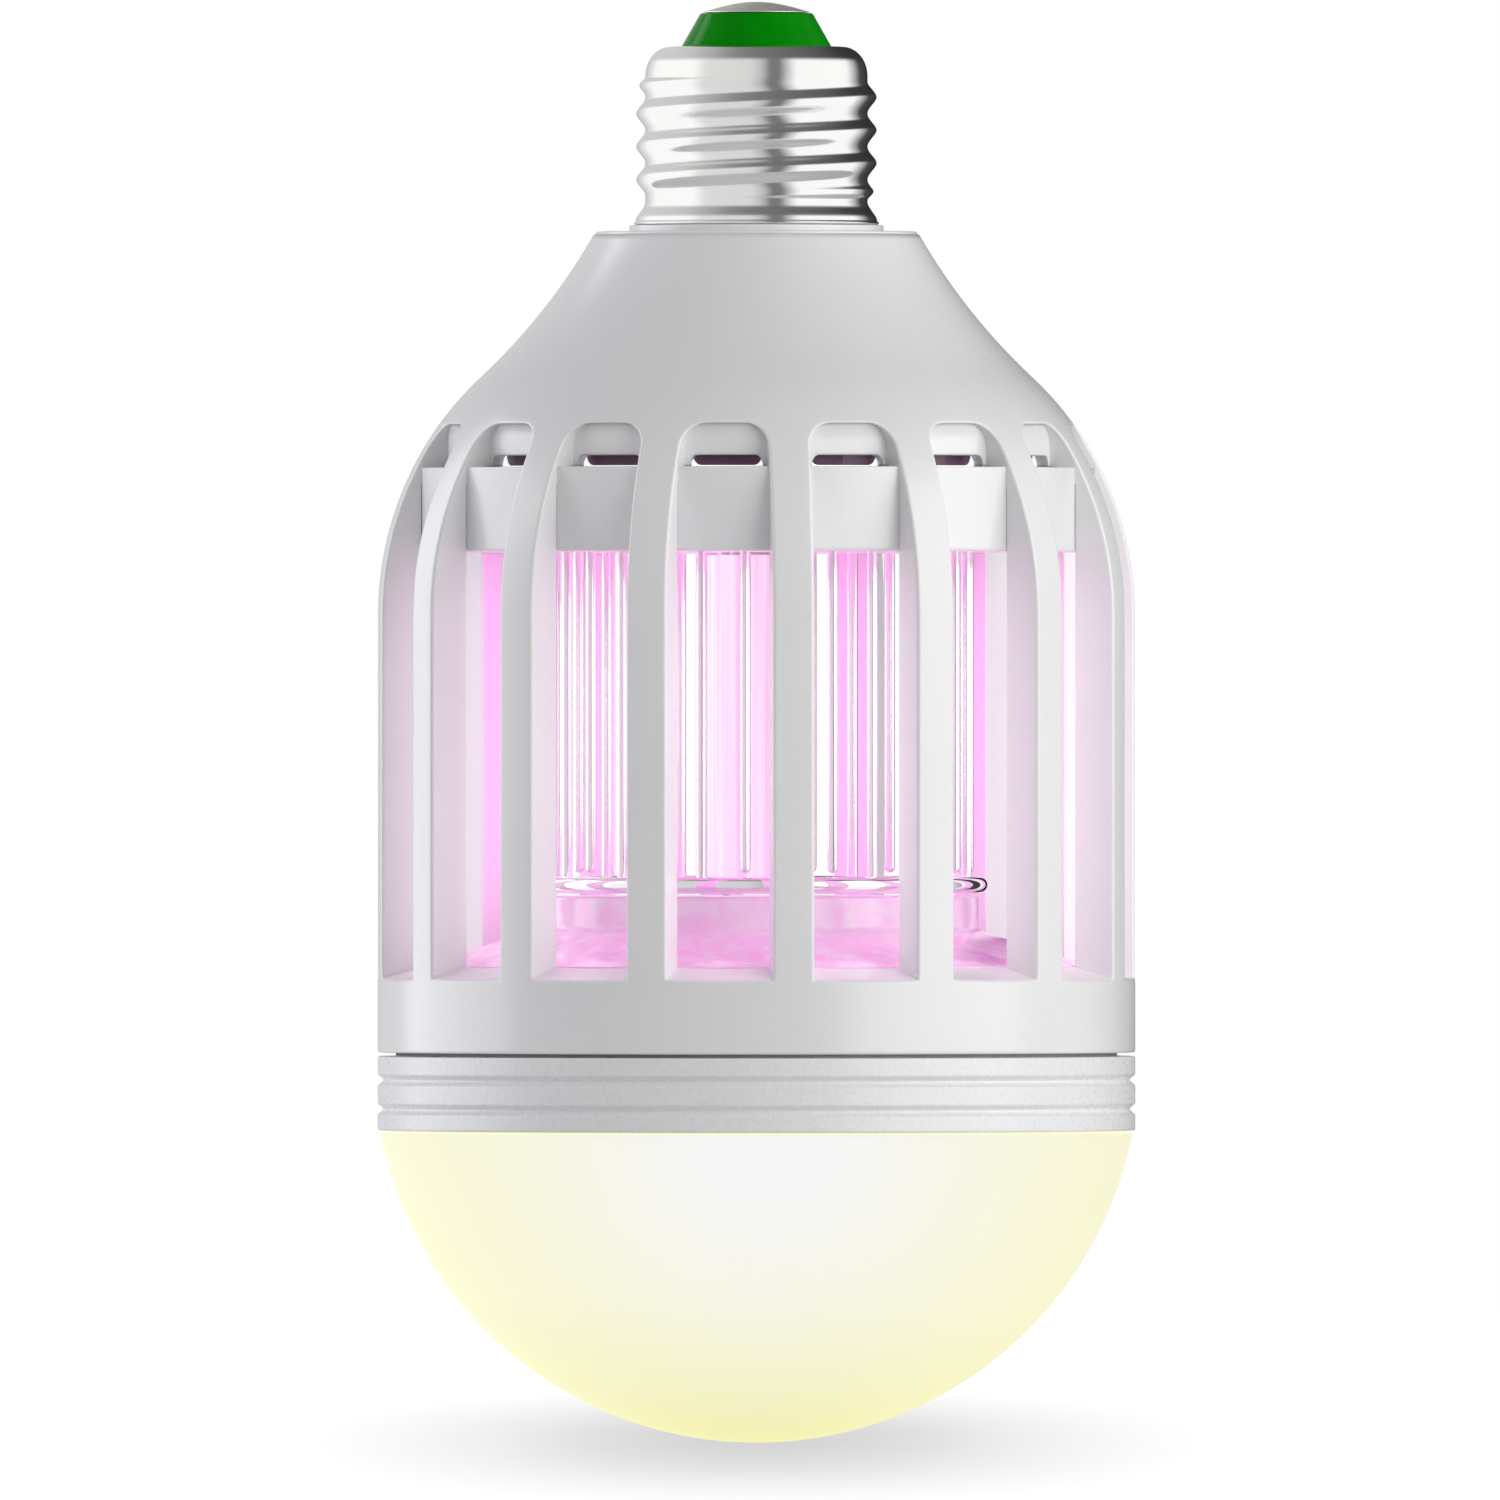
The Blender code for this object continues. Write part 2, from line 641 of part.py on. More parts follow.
def build_choke(parts, material):
    """A drum choke with two flanges."""
    top = PART_Z + CHOKE_HEIGHT
    revolve("choke", [(0.0, top), (CHOKE_R, top), (CHOKE_R, top - CHOKE_FLANGE),
                      (CHOKE_CORE_R, top - CHOKE_FLANGE), (CHOKE_CORE_R, PART_Z + CHOKE_FLANGE),
                      (CHOKE_R, PART_Z + CHOKE_FLANGE), (CHOKE_R, PART_Z), (0.0, PART_Z)],
            parts, material, STEPS_SMALL, centre=CHOKE_PLACE, closed=False)


def build_driver(parts, cutters, mats):
    """The driver board, the parts that stand on it and its leads, sealed in the shoulder."""
    build_board(parts, cutters, mats["driver_board"])
    for i, (x, y) in enumerate(screw_places()):
        build_board_screw(i + 1, x, y, parts, cutters, mats["screw_steel"])
    build_transformer(parts, cutters, mats)
    build_can("capacitor_tall", TALL_CAN, TALL_CAN_R, TALL_CAN_HEIGHT, parts, mats["capacitor_can"])
    build_can("capacitor_small", SMALL_CAN, SMALL_CAN_R, SMALL_CAN_HEIGHT, parts,
              mats["capacitor_can"])
    box("capacitor_film", (*FILM_LOW, PART_Z), (*FILM_HIGH, PART_Z + FILM_HEIGHT), parts,
        mats["film_capacitor"], FILM_EDGE)
    build_choke(parts, mats["ferrite"])
    wire("live_lead", LIVE_ROUTE, LEAD_R, parts, mats["live_wire"])
    wire("neutral_lead", NEUTRAL_ROUTE, LEAD_R, parts, mats["white_wire"])


def rod_places(first):
    """Every second rod's place on the rod circle. Live rods start at 0, neutral ones at 1."""
    places = []
    for i in range(first, RODS, 2):
        a = math.radians(ROD_TURN_DEG + 360.0 / RODS * i - 90.0)
        places.append((ROD_CIRCLE_R * math.cos(a), ROD_CIRCLE_R * math.sin(a)))
    return places


def ring(name, centre_r, centre_z, tube_r, sides, collection, material):
    """A round ring of round section."""
    section = arc((centre_r, centre_z), tube_r, 90, 90 - 360, sides)[:-1]
    return revolve(name, section, collection, material, STEPS_INNER)


def build_holder(parts, cutters, material):
    """The cup that carries the grid, with screw bosses and a hole for each rod."""
    floor_top = HOLDER_LOW_Z + HOLDER_FLOOR
    holder = revolve("grid_top_holder",
                     [(HOLDER_R - EDGE, HOLDER_TOP_Z), (HOLDER_R, HOLDER_TOP_Z - EDGE),
                      (HOLDER_R, HOLDER_LOW_Z + HOLDER_LOW_EDGE),
                      (HOLDER_R - HOLDER_LOW_EDGE, HOLDER_LOW_Z),
                      (CENTRE_HOLE_R, HOLDER_LOW_Z), (CENTRE_HOLE_R, floor_top),
                      (HOLDER_R - HOLDER_WALL, floor_top), (HOLDER_R - HOLDER_WALL, HOLDER_TOP_Z)],
                     parts, material, STEPS_INNER)
    bosses = posts("add_screw_bosses", screw_places(), SCREW_BOSS_R, SCREW_BOSS_LOW_Z, HOLDER_TOP_Z,
                   cutters, None, STEPS_SMALL)
    join(holder, bosses, "UNION")
    pilots = posts("cut_pilot_holes", screw_places(), PILOT_R, PILOT_LOW_Z, HOLDER_TOP_Z + CUT_PAST,
                   cutters, None, STEPS_ROD)
    join(holder, pilots, "DIFFERENCE")
    rod_holes = posts("cut_rod_holes", rod_places(0) + rod_places(1), ROD_HOLE_R,
                      HOLDER_LOW_Z - CUT_PAST, floor_top + CUT_PAST, cutters, None, STEPS_ROD_HOLE)
    join(holder, rod_holes, "DIFFERENCE")


def build_electrodes(parts, cutters, mats):
    """Two cages of welded rods that mesh without touching: one hangs, the other stands."""
    live = ring("grid_live", ROD_CIRCLE_R, BUS_Z, BUS_TUBE_R, BUS_SIDES, parts, mats["grid_steel"])
    live_rods = posts("add_live_rods", rod_places(0), ROD_R, LIVE_ROD_LOW_Z, BUS_Z, cutters, None,
                      STEPS_ROD)
    join(live, live_rods, "UNION")
    neutral = ring("grid_neutral", LOWER_RING_R, LOWER_RING_Z, LOWER_RING_TUBE_R, LOWER_RING_SIDES,
                   parts, mats["ring_chrome"])
    neutral_rods = posts("add_neutral_rods", rod_places(1), ROD_R, LOWER_RING_Z, NEUTRAL_ROD_TOP_Z,
                         cutters, None, STEPS_ROD)
    join(neutral, neutral_rods, "UNION")


def build_column(parts, mats):
    """The ultraviolet column: a milky tube round an upright board with chips on both faces."""
    revolve("uv_tube", [(COLUMN_R, COLUMN_TOP_Z), (COLUMN_R, COLUMN_LOW_Z),
                        (COLUMN_BORE_R, COLUMN_LOW_Z), (COLUMN_BORE_R, COLUMN_TOP_Z)],
            parts, mats["column_tube"], COLUMN_STEPS)
    half_x = COLUMN_BOARD_WIDTH / 2
    half_y = COLUMN_BOARD_THICK / 2
    box("uv_board", (-half_x, -half_y, COLUMN_BOARD_LOW_Z), (half_x, half_y, COLUMN_BOARD_TOP_Z),
        parts, mats["driver_board"])
    places = [(side, height) for height in CHIP_HEIGHTS for side in (-1.0, 1.0)]
    for i, (side, height) in enumerate(places):
        near = side * (half_y + GAP)
        far = side * (half_y + GAP + CHIP_THICK)
        box("uv_led_%d" % (i + 1), (-CHIP_WIDTH / 2, min(near, far), height - CHIP_HEIGHT / 2),
            (CHIP_WIDTH / 2, max(near, far), height + CHIP_HEIGHT / 2), parts, mats["column_chip"])


def build_base(parts, material):
    """The base: pedestal, sloped floor and skirt, in one moulding."""
    inner_wall = PEDESTAL_R - BASE_WALL
    outer_wall = BASE_R - BASE_WALL
    revolve("grid_base",
            [(CENTRE_HOLE_R, PEDESTAL_TOP_Z), (PEDESTAL_R - PEDESTAL_EDGE, PEDESTAL_TOP_Z),
             (PEDESTAL_R, PEDESTAL_TOP_Z - PEDESTAL_EDGE), (PEDESTAL_R, floor_z(PEDESTAL_R)),
             (BASE_R, floor_z(BASE_R)), (BASE_R, BASE_LOW_Z), (outer_wall, BASE_LOW_Z),
             (outer_wall, floor_z(BASE_R) - BASE_WALL), (inner_wall, floor_z(PEDESTAL_R) - BASE_WALL),
             (inner_wall, PEDESTAL_TOP_Z - BASE_WALL), (CENTRE_HOLE_R, PEDESTAL_TOP_Z - BASE_WALL)],
            parts, material, STEPS_INNER)


def build_collar(parts, material):
    """The collar: grooved wall, spigot up into the cage's rebate, plate and lower skirt."""
    profile = [(BODY_R - EDGE, COLLAR_TOP_Z), (BODY_R, COLLAR_TOP_Z - EDGE)]
    for centre in GROOVES_Z:
        profile += [(BODY_R, centre + GROOVE_HALF), (BODY_R - GROOVE_DEPTH, centre + GROOVE_FLAT),
                    (BODY_R - GROOVE_DEPTH, centre - GROOVE_FLAT), (BODY_R, centre - GROOVE_HALF)]
    profile += [(BODY_R, COLLAR_LOW_Z + EDGE), (BODY_R - EDGE, COLLAR_LOW_Z),
                (COLLAR_SKIRT_BORE_R, COLLAR_LOW_Z), (COLLAR_SKIRT_BORE_R, COLLAR_PLATE_LOW_Z),
                (CENTRE_HOLE_R, COLLAR_PLATE_LOW_Z), (CENTRE_HOLE_R, COLLAR_PLATE_TOP_Z),
                (COLLAR_SPIGOT_BORE_R, COLLAR_PLATE_TOP_Z), (COLLAR_SPIGOT_BORE_R, COLLAR_SPIGOT_Z),
                (COLLAR_SPIGOT_R, COLLAR_SPIGOT_Z), (COLLAR_SPIGOT_R, COLLAR_TOP_Z)]
    revolve("light_collar", profile, parts, material, STEPS_LIGHT)


def build_light_board(parts, mats):
    """The light board with its ring of chips on the lower face, and the leads down to it."""
    disc("light_board", LIGHT_BOARD_R, LIGHT_BOARD_TOP_Z, LIGHT_BOARD_LOW_Z, parts,
         mats["light_board"], STEPS_INNER)
    half = LIGHT_CHIP_SIZE / 2
    top = LIGHT_BOARD_LOW_Z - GAP
    for i in range(LIGHT_CHIPS):
        a = 2 * math.pi * (i + 0.5) / LIGHT_CHIPS
        x = LIGHT_CHIP_CIRCLE_R * math.cos(a)
        y = LIGHT_CHIP_CIRCLE_R * math.sin(a)
        box("light_led_%d" % (i + 1), (x - half, y - half, top - LIGHT_CHIP_THICK),
            (x + half, y + half, top), parts, mats["light_chip"])
    for name, x in (("light_lead_a", -LIGHT_LEAD_X), ("light_lead_b", LIGHT_LEAD_X)):
        posts(name, [(x, 0.0)], LIGHT_LEAD_R, LIGHT_BOARD_TOP_Z + GAP, LIGHT_LEAD_TOP_Z, parts,
              mats["white_wire"], STEPS_ROD)


def build_dome(parts, material):
    """The opal dome: part of a sphere with a spigot that goes up into the collar."""
    inner_r = DOME_R - DOME_WALL
    inner_end = -math.degrees(math.acos(DOME_SPIGOT_BORE_R / inner_r))
    rim = math.degrees(math.asin((DOME_RIM_Z - DOME_CENTRE_Z) / DOME_R))
    inside = arc((0.0, DOME_CENTRE_Z), inner_r, -90, inner_end, DOME_INNER_STEPS)
    outside = arc((0.0, DOME_CENTRE_Z), DOME_R, rim, -90, DOME_STEPS)
    inside[0] = (0.0, inside[0][1])
    outside[-1] = (0.0, outside[-1][1])
    spigot = [(DOME_SPIGOT_BORE_R, DOME_SPIGOT_Z), (DOME_SPIGOT_R, DOME_SPIGOT_Z),
              (DOME_SPIGOT_R, DOME_RIM_Z)]
    revolve("diffuser_dome", inside + spigot + outside, parts, material, STEPS_LIGHT, closed=False)


def main():
    """Build the whole lamp."""
    clear_scene()
    parts = make_collection("insect_killer_light_bulb")
    cutters = make_collection("cutters")
    mats = make_materials()
    build_contact(parts, mats["contact_metal"])
    build_insulator(parts, mats["cap_insulator"])
    build_shell(parts, mats["shell_nickel"])
    build_housing(parts, cutters, mats["white_moulding"])
    build_driver(parts, cutters, mats)
    build_holder(parts, cutters, mats["white_moulding"])
    build_electrodes(parts, cutters, mats)
    build_column(parts, mats)
    build_base(parts, mats["white_moulding"])
    build_collar(parts, mats["collar_paint"])
    build_light_board(parts, mats)
    build_dome(parts, mats["opal_dome"])
    shade_parts(parts)
    hide_cutters(cutters)


main()
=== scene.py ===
"""Insect killer light bulb: fine surfaces, finishes and stage, laid out as a Blender add-on."""
import math

import bmesh
import bpy
import numpy as np
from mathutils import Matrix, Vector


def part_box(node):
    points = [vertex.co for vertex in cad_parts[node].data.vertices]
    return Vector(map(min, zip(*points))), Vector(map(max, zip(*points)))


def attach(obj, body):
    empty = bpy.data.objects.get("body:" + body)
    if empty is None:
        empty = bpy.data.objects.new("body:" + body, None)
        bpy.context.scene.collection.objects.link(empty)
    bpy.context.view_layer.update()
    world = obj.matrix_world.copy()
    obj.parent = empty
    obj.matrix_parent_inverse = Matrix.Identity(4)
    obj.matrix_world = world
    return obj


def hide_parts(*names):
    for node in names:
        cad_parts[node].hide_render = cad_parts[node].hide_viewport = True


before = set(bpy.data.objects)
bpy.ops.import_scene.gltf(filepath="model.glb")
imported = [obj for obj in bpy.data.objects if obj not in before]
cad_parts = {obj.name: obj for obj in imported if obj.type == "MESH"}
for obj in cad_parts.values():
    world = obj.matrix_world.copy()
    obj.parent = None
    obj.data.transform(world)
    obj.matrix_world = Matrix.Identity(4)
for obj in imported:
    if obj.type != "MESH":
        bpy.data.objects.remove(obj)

bl_info = {
    "name": "Insect Killer Light Bulb",
    "version": (1, 0, 0),
    "blender": (4, 5, 0),
    "location": "3D View > Sidebar > Lamp",
    "description": "Fine surfaces, finishes and stage for a hanging insect killer lamp",
    "category": "Add Mesh",
}

# Sizes are in metres, written as millimetres times MM. Heights count from the neck's top face.
MM = 0.001
TAU = 2 * math.pi
BODY = "root"

# The corners of the CAD boxes that the pieces fill.
HOUSING_LOW, HOUSING_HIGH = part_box("cage_housing")
SHELL_LOW, SHELL_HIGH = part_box("screw_shell")
INSULATOR_LOW, INSULATOR_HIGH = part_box("cap_insulator")
CONTACT_LOW, CONTACT_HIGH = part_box("centre_contact")
HOLDER_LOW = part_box("grid_top_holder")[0]
BOARD_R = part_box("driver_board")[1][0]
LIVE_LOW, LIVE_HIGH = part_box("grid_live")
NEUTRAL_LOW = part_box("grid_neutral")[0]
COLUMN_LOW, COLUMN_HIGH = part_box("uv_tube")
BASE_LOW, BASE_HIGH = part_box("grid_base")
COLLAR_LOW, COLLAR_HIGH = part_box("light_collar")
DOME_LOW, DOME_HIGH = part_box("diffuser_dome")
BODY_R = HOUSING_HIGH[0]

# The shoulder's two arcs, each by its centre's radius and height and its own radius. The straight
# wall ends at BEND_Z, and the arcs meet at MEET_Z.
FULL_ARC = (6.0 * MM, -42.0 * MM, 35.6 * MM)
HOLLOW_ARC = (76.2 * MM, 33.2 * MM, 67.27 * MM)
BEND_Z = FULL_ARC[1]
MEET_Z = -15.98 * MM

# The slots' sectors reach from one border to the other, and each rib's inner face steps in to
# the skirt over LEDGE_STEP.
LOW_BORDER, TOP_BORDER = -84 * MM, -19 * MM
LEDGE_STEP = 0.3 * MM
# A hair's breadth that keeps a piece's face clear of its neighbour's.
CLEAR = 0.03 * MM
# Radius of the hole through holder, base and collar for the column's wires.
WIRE_BORE = 4.6 * MM
# The round on most moulded and turned corners, and the finer one on thin edges.
SOFT, FINE = 0.2 * MM, 0.12 * MM


def size(label, description, value, low=0.0, high=0.2):
    """A length that a user may change, in metres."""
    return bpy.props.FloatProperty(name=label, description=description, default=value, min=low,
                                   max=high, unit="LENGTH", precision=5)


def angle(label, description, degrees):
    """An angle that a user may change."""
    return bpy.props.FloatProperty(name=label, description=description,
                                   default=math.radians(degrees), subtype="ANGLE")


def number(label, description, value, low=0.0, high=10.0):
    """A plain factor that a user may change."""
    return bpy.props.FloatProperty(name=label, description=description, default=value, min=low,
                                   max=high)


def count(label, description, value):
    """A whole number that a user may change."""
    return bpy.props.IntProperty(name=label, description=description, default=value, min=3, max=64)


def linear(hex_colour):
    """An sRGB hex colour as linear red, green and blue."""
    parts = [int(hex_colour[i:i + 2], 16) / 255 for i in (1, 3, 5)]
    return tuple(p / 12.92 if p <= 0.04045 else ((p + 0.055) / 1.055) ** 2.4 for p in parts)


def colour(label, description, hex_colour):
    """A colour that a user may change, given as sRGB hex."""
    return bpy.props.FloatVectorProperty(name=label, description=description, subtype="COLOR",
                                         default=linear(hex_colour), min=0.0, max=1.0)


class LampCageSettings(bpy.types.PropertyGroup):
    """Sizes and colour of the white moulding with its slots."""
    ribs: count("Ribs", "How many ribs stand round the cage", 16)
    rib_width: size("Rib width", "Width of each parallel-sided rib", 4.5 * MM)
    rib_inner: size("Rib inner radius", "Radius of the ribs' inner faces", 37.2 * MM)
    slot_top: size("Slot top", "Depth of the slot heads below the neck", 21.2 * MM)
    slot_corner: size("Slot corner", "Radius of the slots' two top corners", 2.5 * MM)
    slot_floor: size("Slot floor", "Depth of the slot floor's outer edge", 82.1 * MM)
    floor_slope: number("Floor slope", "Rise of the floor for each unit inward", 0.316, 0.0, 1.0)
    edge: size("Edge round", "Radius of the rounded slot edges", 0.32 * MM)
    wall: size("Wall", "Thickness of the shoulder", 2.2 * MM)
    neck: size("Neck radius", "Radius of the neck's flat top", 17.69 * MM)
    skirt: size("Skirt radius", "Outer radius of the skirt inside the slot heads", 34.35 * MM)
    skirt_bore: size("Skirt bore", "Inner radius of the skirt", 32.9 * MM)
    skirt_low: size("Skirt depth", "Depth of the skirt's lower edge", 25.9 * MM)
    window_half: size("Window half width", "Half the width of a window in the skirt", 4.05 * MM)
    window_top: size("Window top", "Depth of a window's top edge", 24.7 * MM)
    window_corner: size("Window corner", "How far a window's sides curve in", 0.8 * MM)
    moulding: colour("Moulding", "Colour of the white moulding", "#EAEAEC")


class LampCapSettings(bpy.types.PropertyGroup):
    """Sizes and colours of the screw cap."""
    crest: size("Crest radius", "Radius of the thread's crests", 13.2 * MM)
    root: size("Root radius", "Radius between the crests", 12.2 * MM)
    pitch: size("Pitch", "Height of one turn of the thread", 3.629 * MM)
    first_crest: size("First crest", "Height of a crest at the front", 10.2 * MM)
    thread_low: size("Thread start", "Height at which the thread starts", 3.4 * MM)
    thread_high: size("Thread end", "Height at which the thread ends", 17.1 * MM)
    bore: size("Bore", "Inner radius of the shell", 11.5 * MM)
    flare: size("Flare", "Height over which the rim flares out", 2.2 * MM)
    contact_radius: size("Contact radius", "Radius of the domed contact", 5.95 * MM)
    nickel: colour("Nickel", "Colour of the plated shell", "#FCFBFA")
    insulator: colour("Insulator", "Colour of the insulating cone", "#018A05")
    tin: colour("Tin", "Colour of the contact", "#E3E1DC")


class LampGridSettings(bpy.types.PropertyGroup):
    """Sizes and colours of the high voltage grid."""
    rods: count("Rods", "How many rods stand round the column, live and neutral together", 30)
    rod: size("Rod radius", "Radius of one rod", 0.6 * MM)
    circle: size("Rod circle", "Radius of the circle on which the rods stand", 23.3 * MM)
    turn: angle("First rod", "Turn of the first rod from the front", 2.6)
    neutral_top: size("Neutral tip", "Depth of the neutral rods' upper tips", 34.0 * MM)
    ring_circle: size("Ring radius", "Radius of the lower ring's middle line", 24.45 * MM)
    ring: size("Ring thickness", "Radius of the lower ring's round section", 0.93 * MM)
    pedestal: size("Pedestal radius", "Radius of the pedestal under the grid", 24.4 * MM)
    steel: colour("Steel", "Colour of the drawn wire", "#F8F6F8")
    chrome: colour("Chrome", "Colour of the lower ring", "#F6F5F7")
    glow: colour("Glow", "Colour of the lit column", "#FBC9EE")
    # The base's painted light: its pink painted glow, its paler painted reflections and its deeper
    # painted glow streaks round the foot.
    base_painted_glow: colour("Base glow", "Colour of the light that the base passes", "#F888E4")
    base_painted_reflection: colour("Pale glow", "Colour of the paler wisps in the base", "#EEBCE4")
    base_painted_streak: colour("Deep glow", "Colour of the deeper streaks round the base's foot", "#FF48E0")
    glow_pale: colour("Pale lines", "Colour of the paler lines along the column", "#FFECFB")


class LampLightSettings(bpy.types.PropertyGroup):
    """Sizes and colours of the light head."""
    groove: size("Groove depth", "Depth of the collar's two grooves", 0.6 * MM)
    groove_half: size("Groove half width", "Half the width of a groove", 0.7 * MM)
    groove_one: size("Upper groove", "Depth of the upper groove's middle", 93.1 * MM)
    groove_two: size("Lower groove", "Depth of the lower groove's middle", 96.3 * MM)
    dome: size("Dome radius", "Radius of the dome's sphere", 42.05 * MM)
    dome_centre: size("Dome centre", "Depth of the sphere's centre", 90.9 * MM)
    dome_rim: size("Dome rim", "Depth of the dome's rim", 98.9 * MM)
    dome_wall: size("Dome wall", "Thickness of the dome", 1.8 * MM)
    collar: colour("Collar", "Colour of the powder coat", "#EBEBED")
    dome_body: colour("Dome body", "Colour of the dome with its light off", "#8E8E96")
    dome_high: colour("Dome near the rim", "Light that it sends out near its rim", "#E6E5BF")
    dome_middle: colour("Dome half way", "Light that it sends out half way down", "#E8E6BA")
    dome_low: colour("Dome low down", "Light that it sends out low down", "#E7E4AA")
    dome_crown: colour("Dome at its crown", "Light that it sends out at its crown", "#E6E397")


class LampStageSettings(bpy.types.PropertyGroup):
    """Camera, floor and light."""
    lens: number("Lens", "Focal length in millimetres, for a sensor 36 mm wide", 1200.0, 50.0,
                 5000.0)
    azimuth: angle("Azimuth", "How far the camera stands round to the right", 5.6)
    width: size("View width", "Width of the view at the lamp's axis", 164.7 * MM, 0.0, 2.0)
    height: size("View depth", "Depth of the view's middle below the neck", 56.9 * MM)
    aside: size("View aside", "How far the axis lies right of the view's middle", 0.71 * MM)
    daylight: number("Room light", "Strength of the light from all round at eye level", 0.45)
    ceiling: number("Ceiling", "Share of the room light that comes from straight above", 0.4)
    key: number("Key lamp", "Power of the large lamp at the right, in watts", 11.4, 0.0, 100.0)
    fill: number("Fill lamp", "Power of the lamp at the left, in watts", 9.5, 0.0, 100.0)
    inner: number("Column lamps", "Power of each lamp on the column, in watts", 0.0072, 0.0, 1.0)
    slot: number("Slot lamps", "Power of each lamp inside a slot, in watts", 0.00095, 0.0, 1.0)
    cool: number("Front lamp", "Power of the cool lamp on the dome, in watts", 0.036, 0.0, 100.0)
    top: number("Top lamp", "Power of the lamp over the floor, in watts", 13.0, 0.0, 100.0)


class Outline:
    """Samples round one slot, each an array with one value for each sample.

    share is the part of the slot's half width, inset what a rounded corner takes off it, height
    the sample's height, weight the part of the floor's slope that it follows, and side and level
    the angle and height of the point on the border of the slot's own sector that it pairs with.
    """

    def __init__(self, cage):
        half_turn = math.pi / cage.ribs
        floor, top, corner = -cage.slot_floor, -cage.slot_top, cage.slot_corner
        ledge, head = -cage.skirt_low, top - corner
        near_floor, low_wall = floor + 0.5 * MM, -72 * MM
        wall = np.concatenate([[floor, near_floor], np.linspace(low_wall, BEND_Z, 3),
                               np.linspace(BEND_Z, ledge - LEDGE_STEP, 10)[1:],
                               np.linspace(ledge, head, 4)])
        along = (wall - floor) / (head - floor)
        # A corner's eight samples: its first half pairs with the sector's side, the rest with
        # its top border.
        turn = np.radians(np.linspace(0, 90, 9)[1:])
        early = np.minimum(turn / math.radians(45), 1.0)
        late = np.clip(turn / math.radians(45) - 1.0, 0.0, 1.0)
        across = np.array([0.67, 0.33, 0.0])
        top_turn, meet = 0.45 * half_turn, head + 1.0 * MM
        flat = np.zeros_like(across)
        right = [np.concatenate(rows) for rows in (
            (np.ones_like(wall), np.ones_like(turn), across),
            (0 * wall, corner * (1 - np.cos(turn)), flat + corner),
            (wall, head + corner * np.sin(turn), flat + top),
            (1 - along, 0 * turn, flat),
            (0 * wall + half_turn, half_turn + late * (top_turn - half_turn), across * top_turn),
            (LOW_BORDER + along * (meet - LOW_BORDER), meet + early * (TOP_BORDER - meet),
             flat + TOP_BORDER))]
        signs = (-1, 1, 1, 1, -1, 1)
        under = np.linspace(-0.92, 0.92, 9)
        level = 0 * under
        bottom = (under, level, level + floor, level + 1, under * half_turn, level + LOW_BORDER)
        head_turns = right[4][len(wall) + 3:]
        self.top_turns = np.concatenate([-head_turns, head_turns[-2::-1]])
        self.low_turns = np.concatenate([[-half_turn], under * half_turn])
        (self.share, self.inset, self.height, self.weight, self.side, self.level) = (
            np.concatenate([one, sign * one[-2::-1], low])
            for one, sign, low in zip(right, signs, bottom))


def wall_radius(z):
    """The housing's outer radius at a height.

    It is straight below the bend, then a full arc, then a hollow arc up to the neck: centre
    radius plus or minus the square root of the arc's radius squared less the height squared.
    """
    above = np.clip(z - FULL_ARC[1], 0.0, FULL_ARC[2])
    full = FULL_ARC[0] + np.sqrt(FULL_ARC[2] ** 2 - above ** 2)
    below = np.clip(HOLLOW_ARC[1] - z, 0.0, HOLLOW_ARC[2])
    hollow = HOLLOW_ARC[0] - np.sqrt(HOLLOW_ARC[2] ** 2 - below ** 2)
    return np.where(z > MEET_Z, hollow, full)


def around(radius, turn, height):
    """Points round the axis, each (radius cos turn, radius sin turn, height)."""
    return np.stack(np.broadcast_arrays(radius * np.cos(turn), radius * np.sin(turn), height), -1)


def turned(profile, turns):
    """A profile of (radius, height) points carried round the axis, with a column for each turn."""
    profile = np.asarray(profile, float)
    return around(profile[:, :1], turns, profile[:, 1:])


def grid_quads(rows, columns, rows_close=False, columns_close=False):
    """The quads between neighbouring points of a grid."""
    r = np.arange(rows if rows_close else rows - 1)[:, None]
    c = np.arange(columns if columns_close else columns - 1)[None, :]
    r2, c2 = (r + 1) % rows, (c + 1) % columns
    quads = [r * columns + c, r * columns + c2, r2 * columns + c2, r2 * columns + c]
    return np.stack([q + 0 * (r + c) for q in quads], -1).reshape(-1, 4)


def full_turn(steps):
    """Even steps of one full turn."""
    return np.arange(steps) * TAU / steps


def lathe(profile, steps, closed=True):
    """A turned shell: a closed profile is a loop, and an open one has both ends on the axis."""
    grid = turned(profile, full_turn(steps))
    return grid.reshape(-1, 3), grid_quads(grid.shape[0], steps, closed, True)


# How far out from a rounded corner its flats begin, in rounds.
FLAT_END = 1.6


def rounded(corners, steps=4):
    """A loop of (radius, height, round) corners with quadratic curves in place of its corners.

    Between the two points that lie one round away along its sides, a curve point is the corner
    plus round times (first side (1 - t)^2 + second side t^2). A point FLAT_END rounds out on each
    side keeps the flats flat under smooth shading.
    """
    points = []
    for i, (radius, height, bend) in enumerate(corners):
        here = np.array([radius, height])
        if bend == 0.0:
            points.append([here])
            continue
        first = np.array(corners[i - 1][:2]) - here
        second = np.array(corners[(i + 1) % len(corners)][:2]) - here
        first /= np.linalg.norm(first)
        second /= np.linalg.norm(second)
        t = np.linspace(0.0, 1.0, steps + 1)[:, None]
        curve = here + bend * (first * (1 - t) ** 2 + second * t ** 2)
        points += [[here + first * bend * FLAT_END], curve, [here + second * bend * FLAT_END]]
    return np.concatenate(points)


def arc_points(centre, radius, start, end, steps):
    """Points of a circle arc between two angles in degrees."""
    a = np.radians(np.linspace(start, end, steps + 1))
    return np.stack([centre[0] + radius * np.cos(a), centre[1] + radius * np.sin(a)], -1)


def repeated(quads, points, times):
    """The same quads once more for each copy of this many points."""
    return (quads[None] + points * np.arange(times)[:, None, None]).reshape(-1, 4)


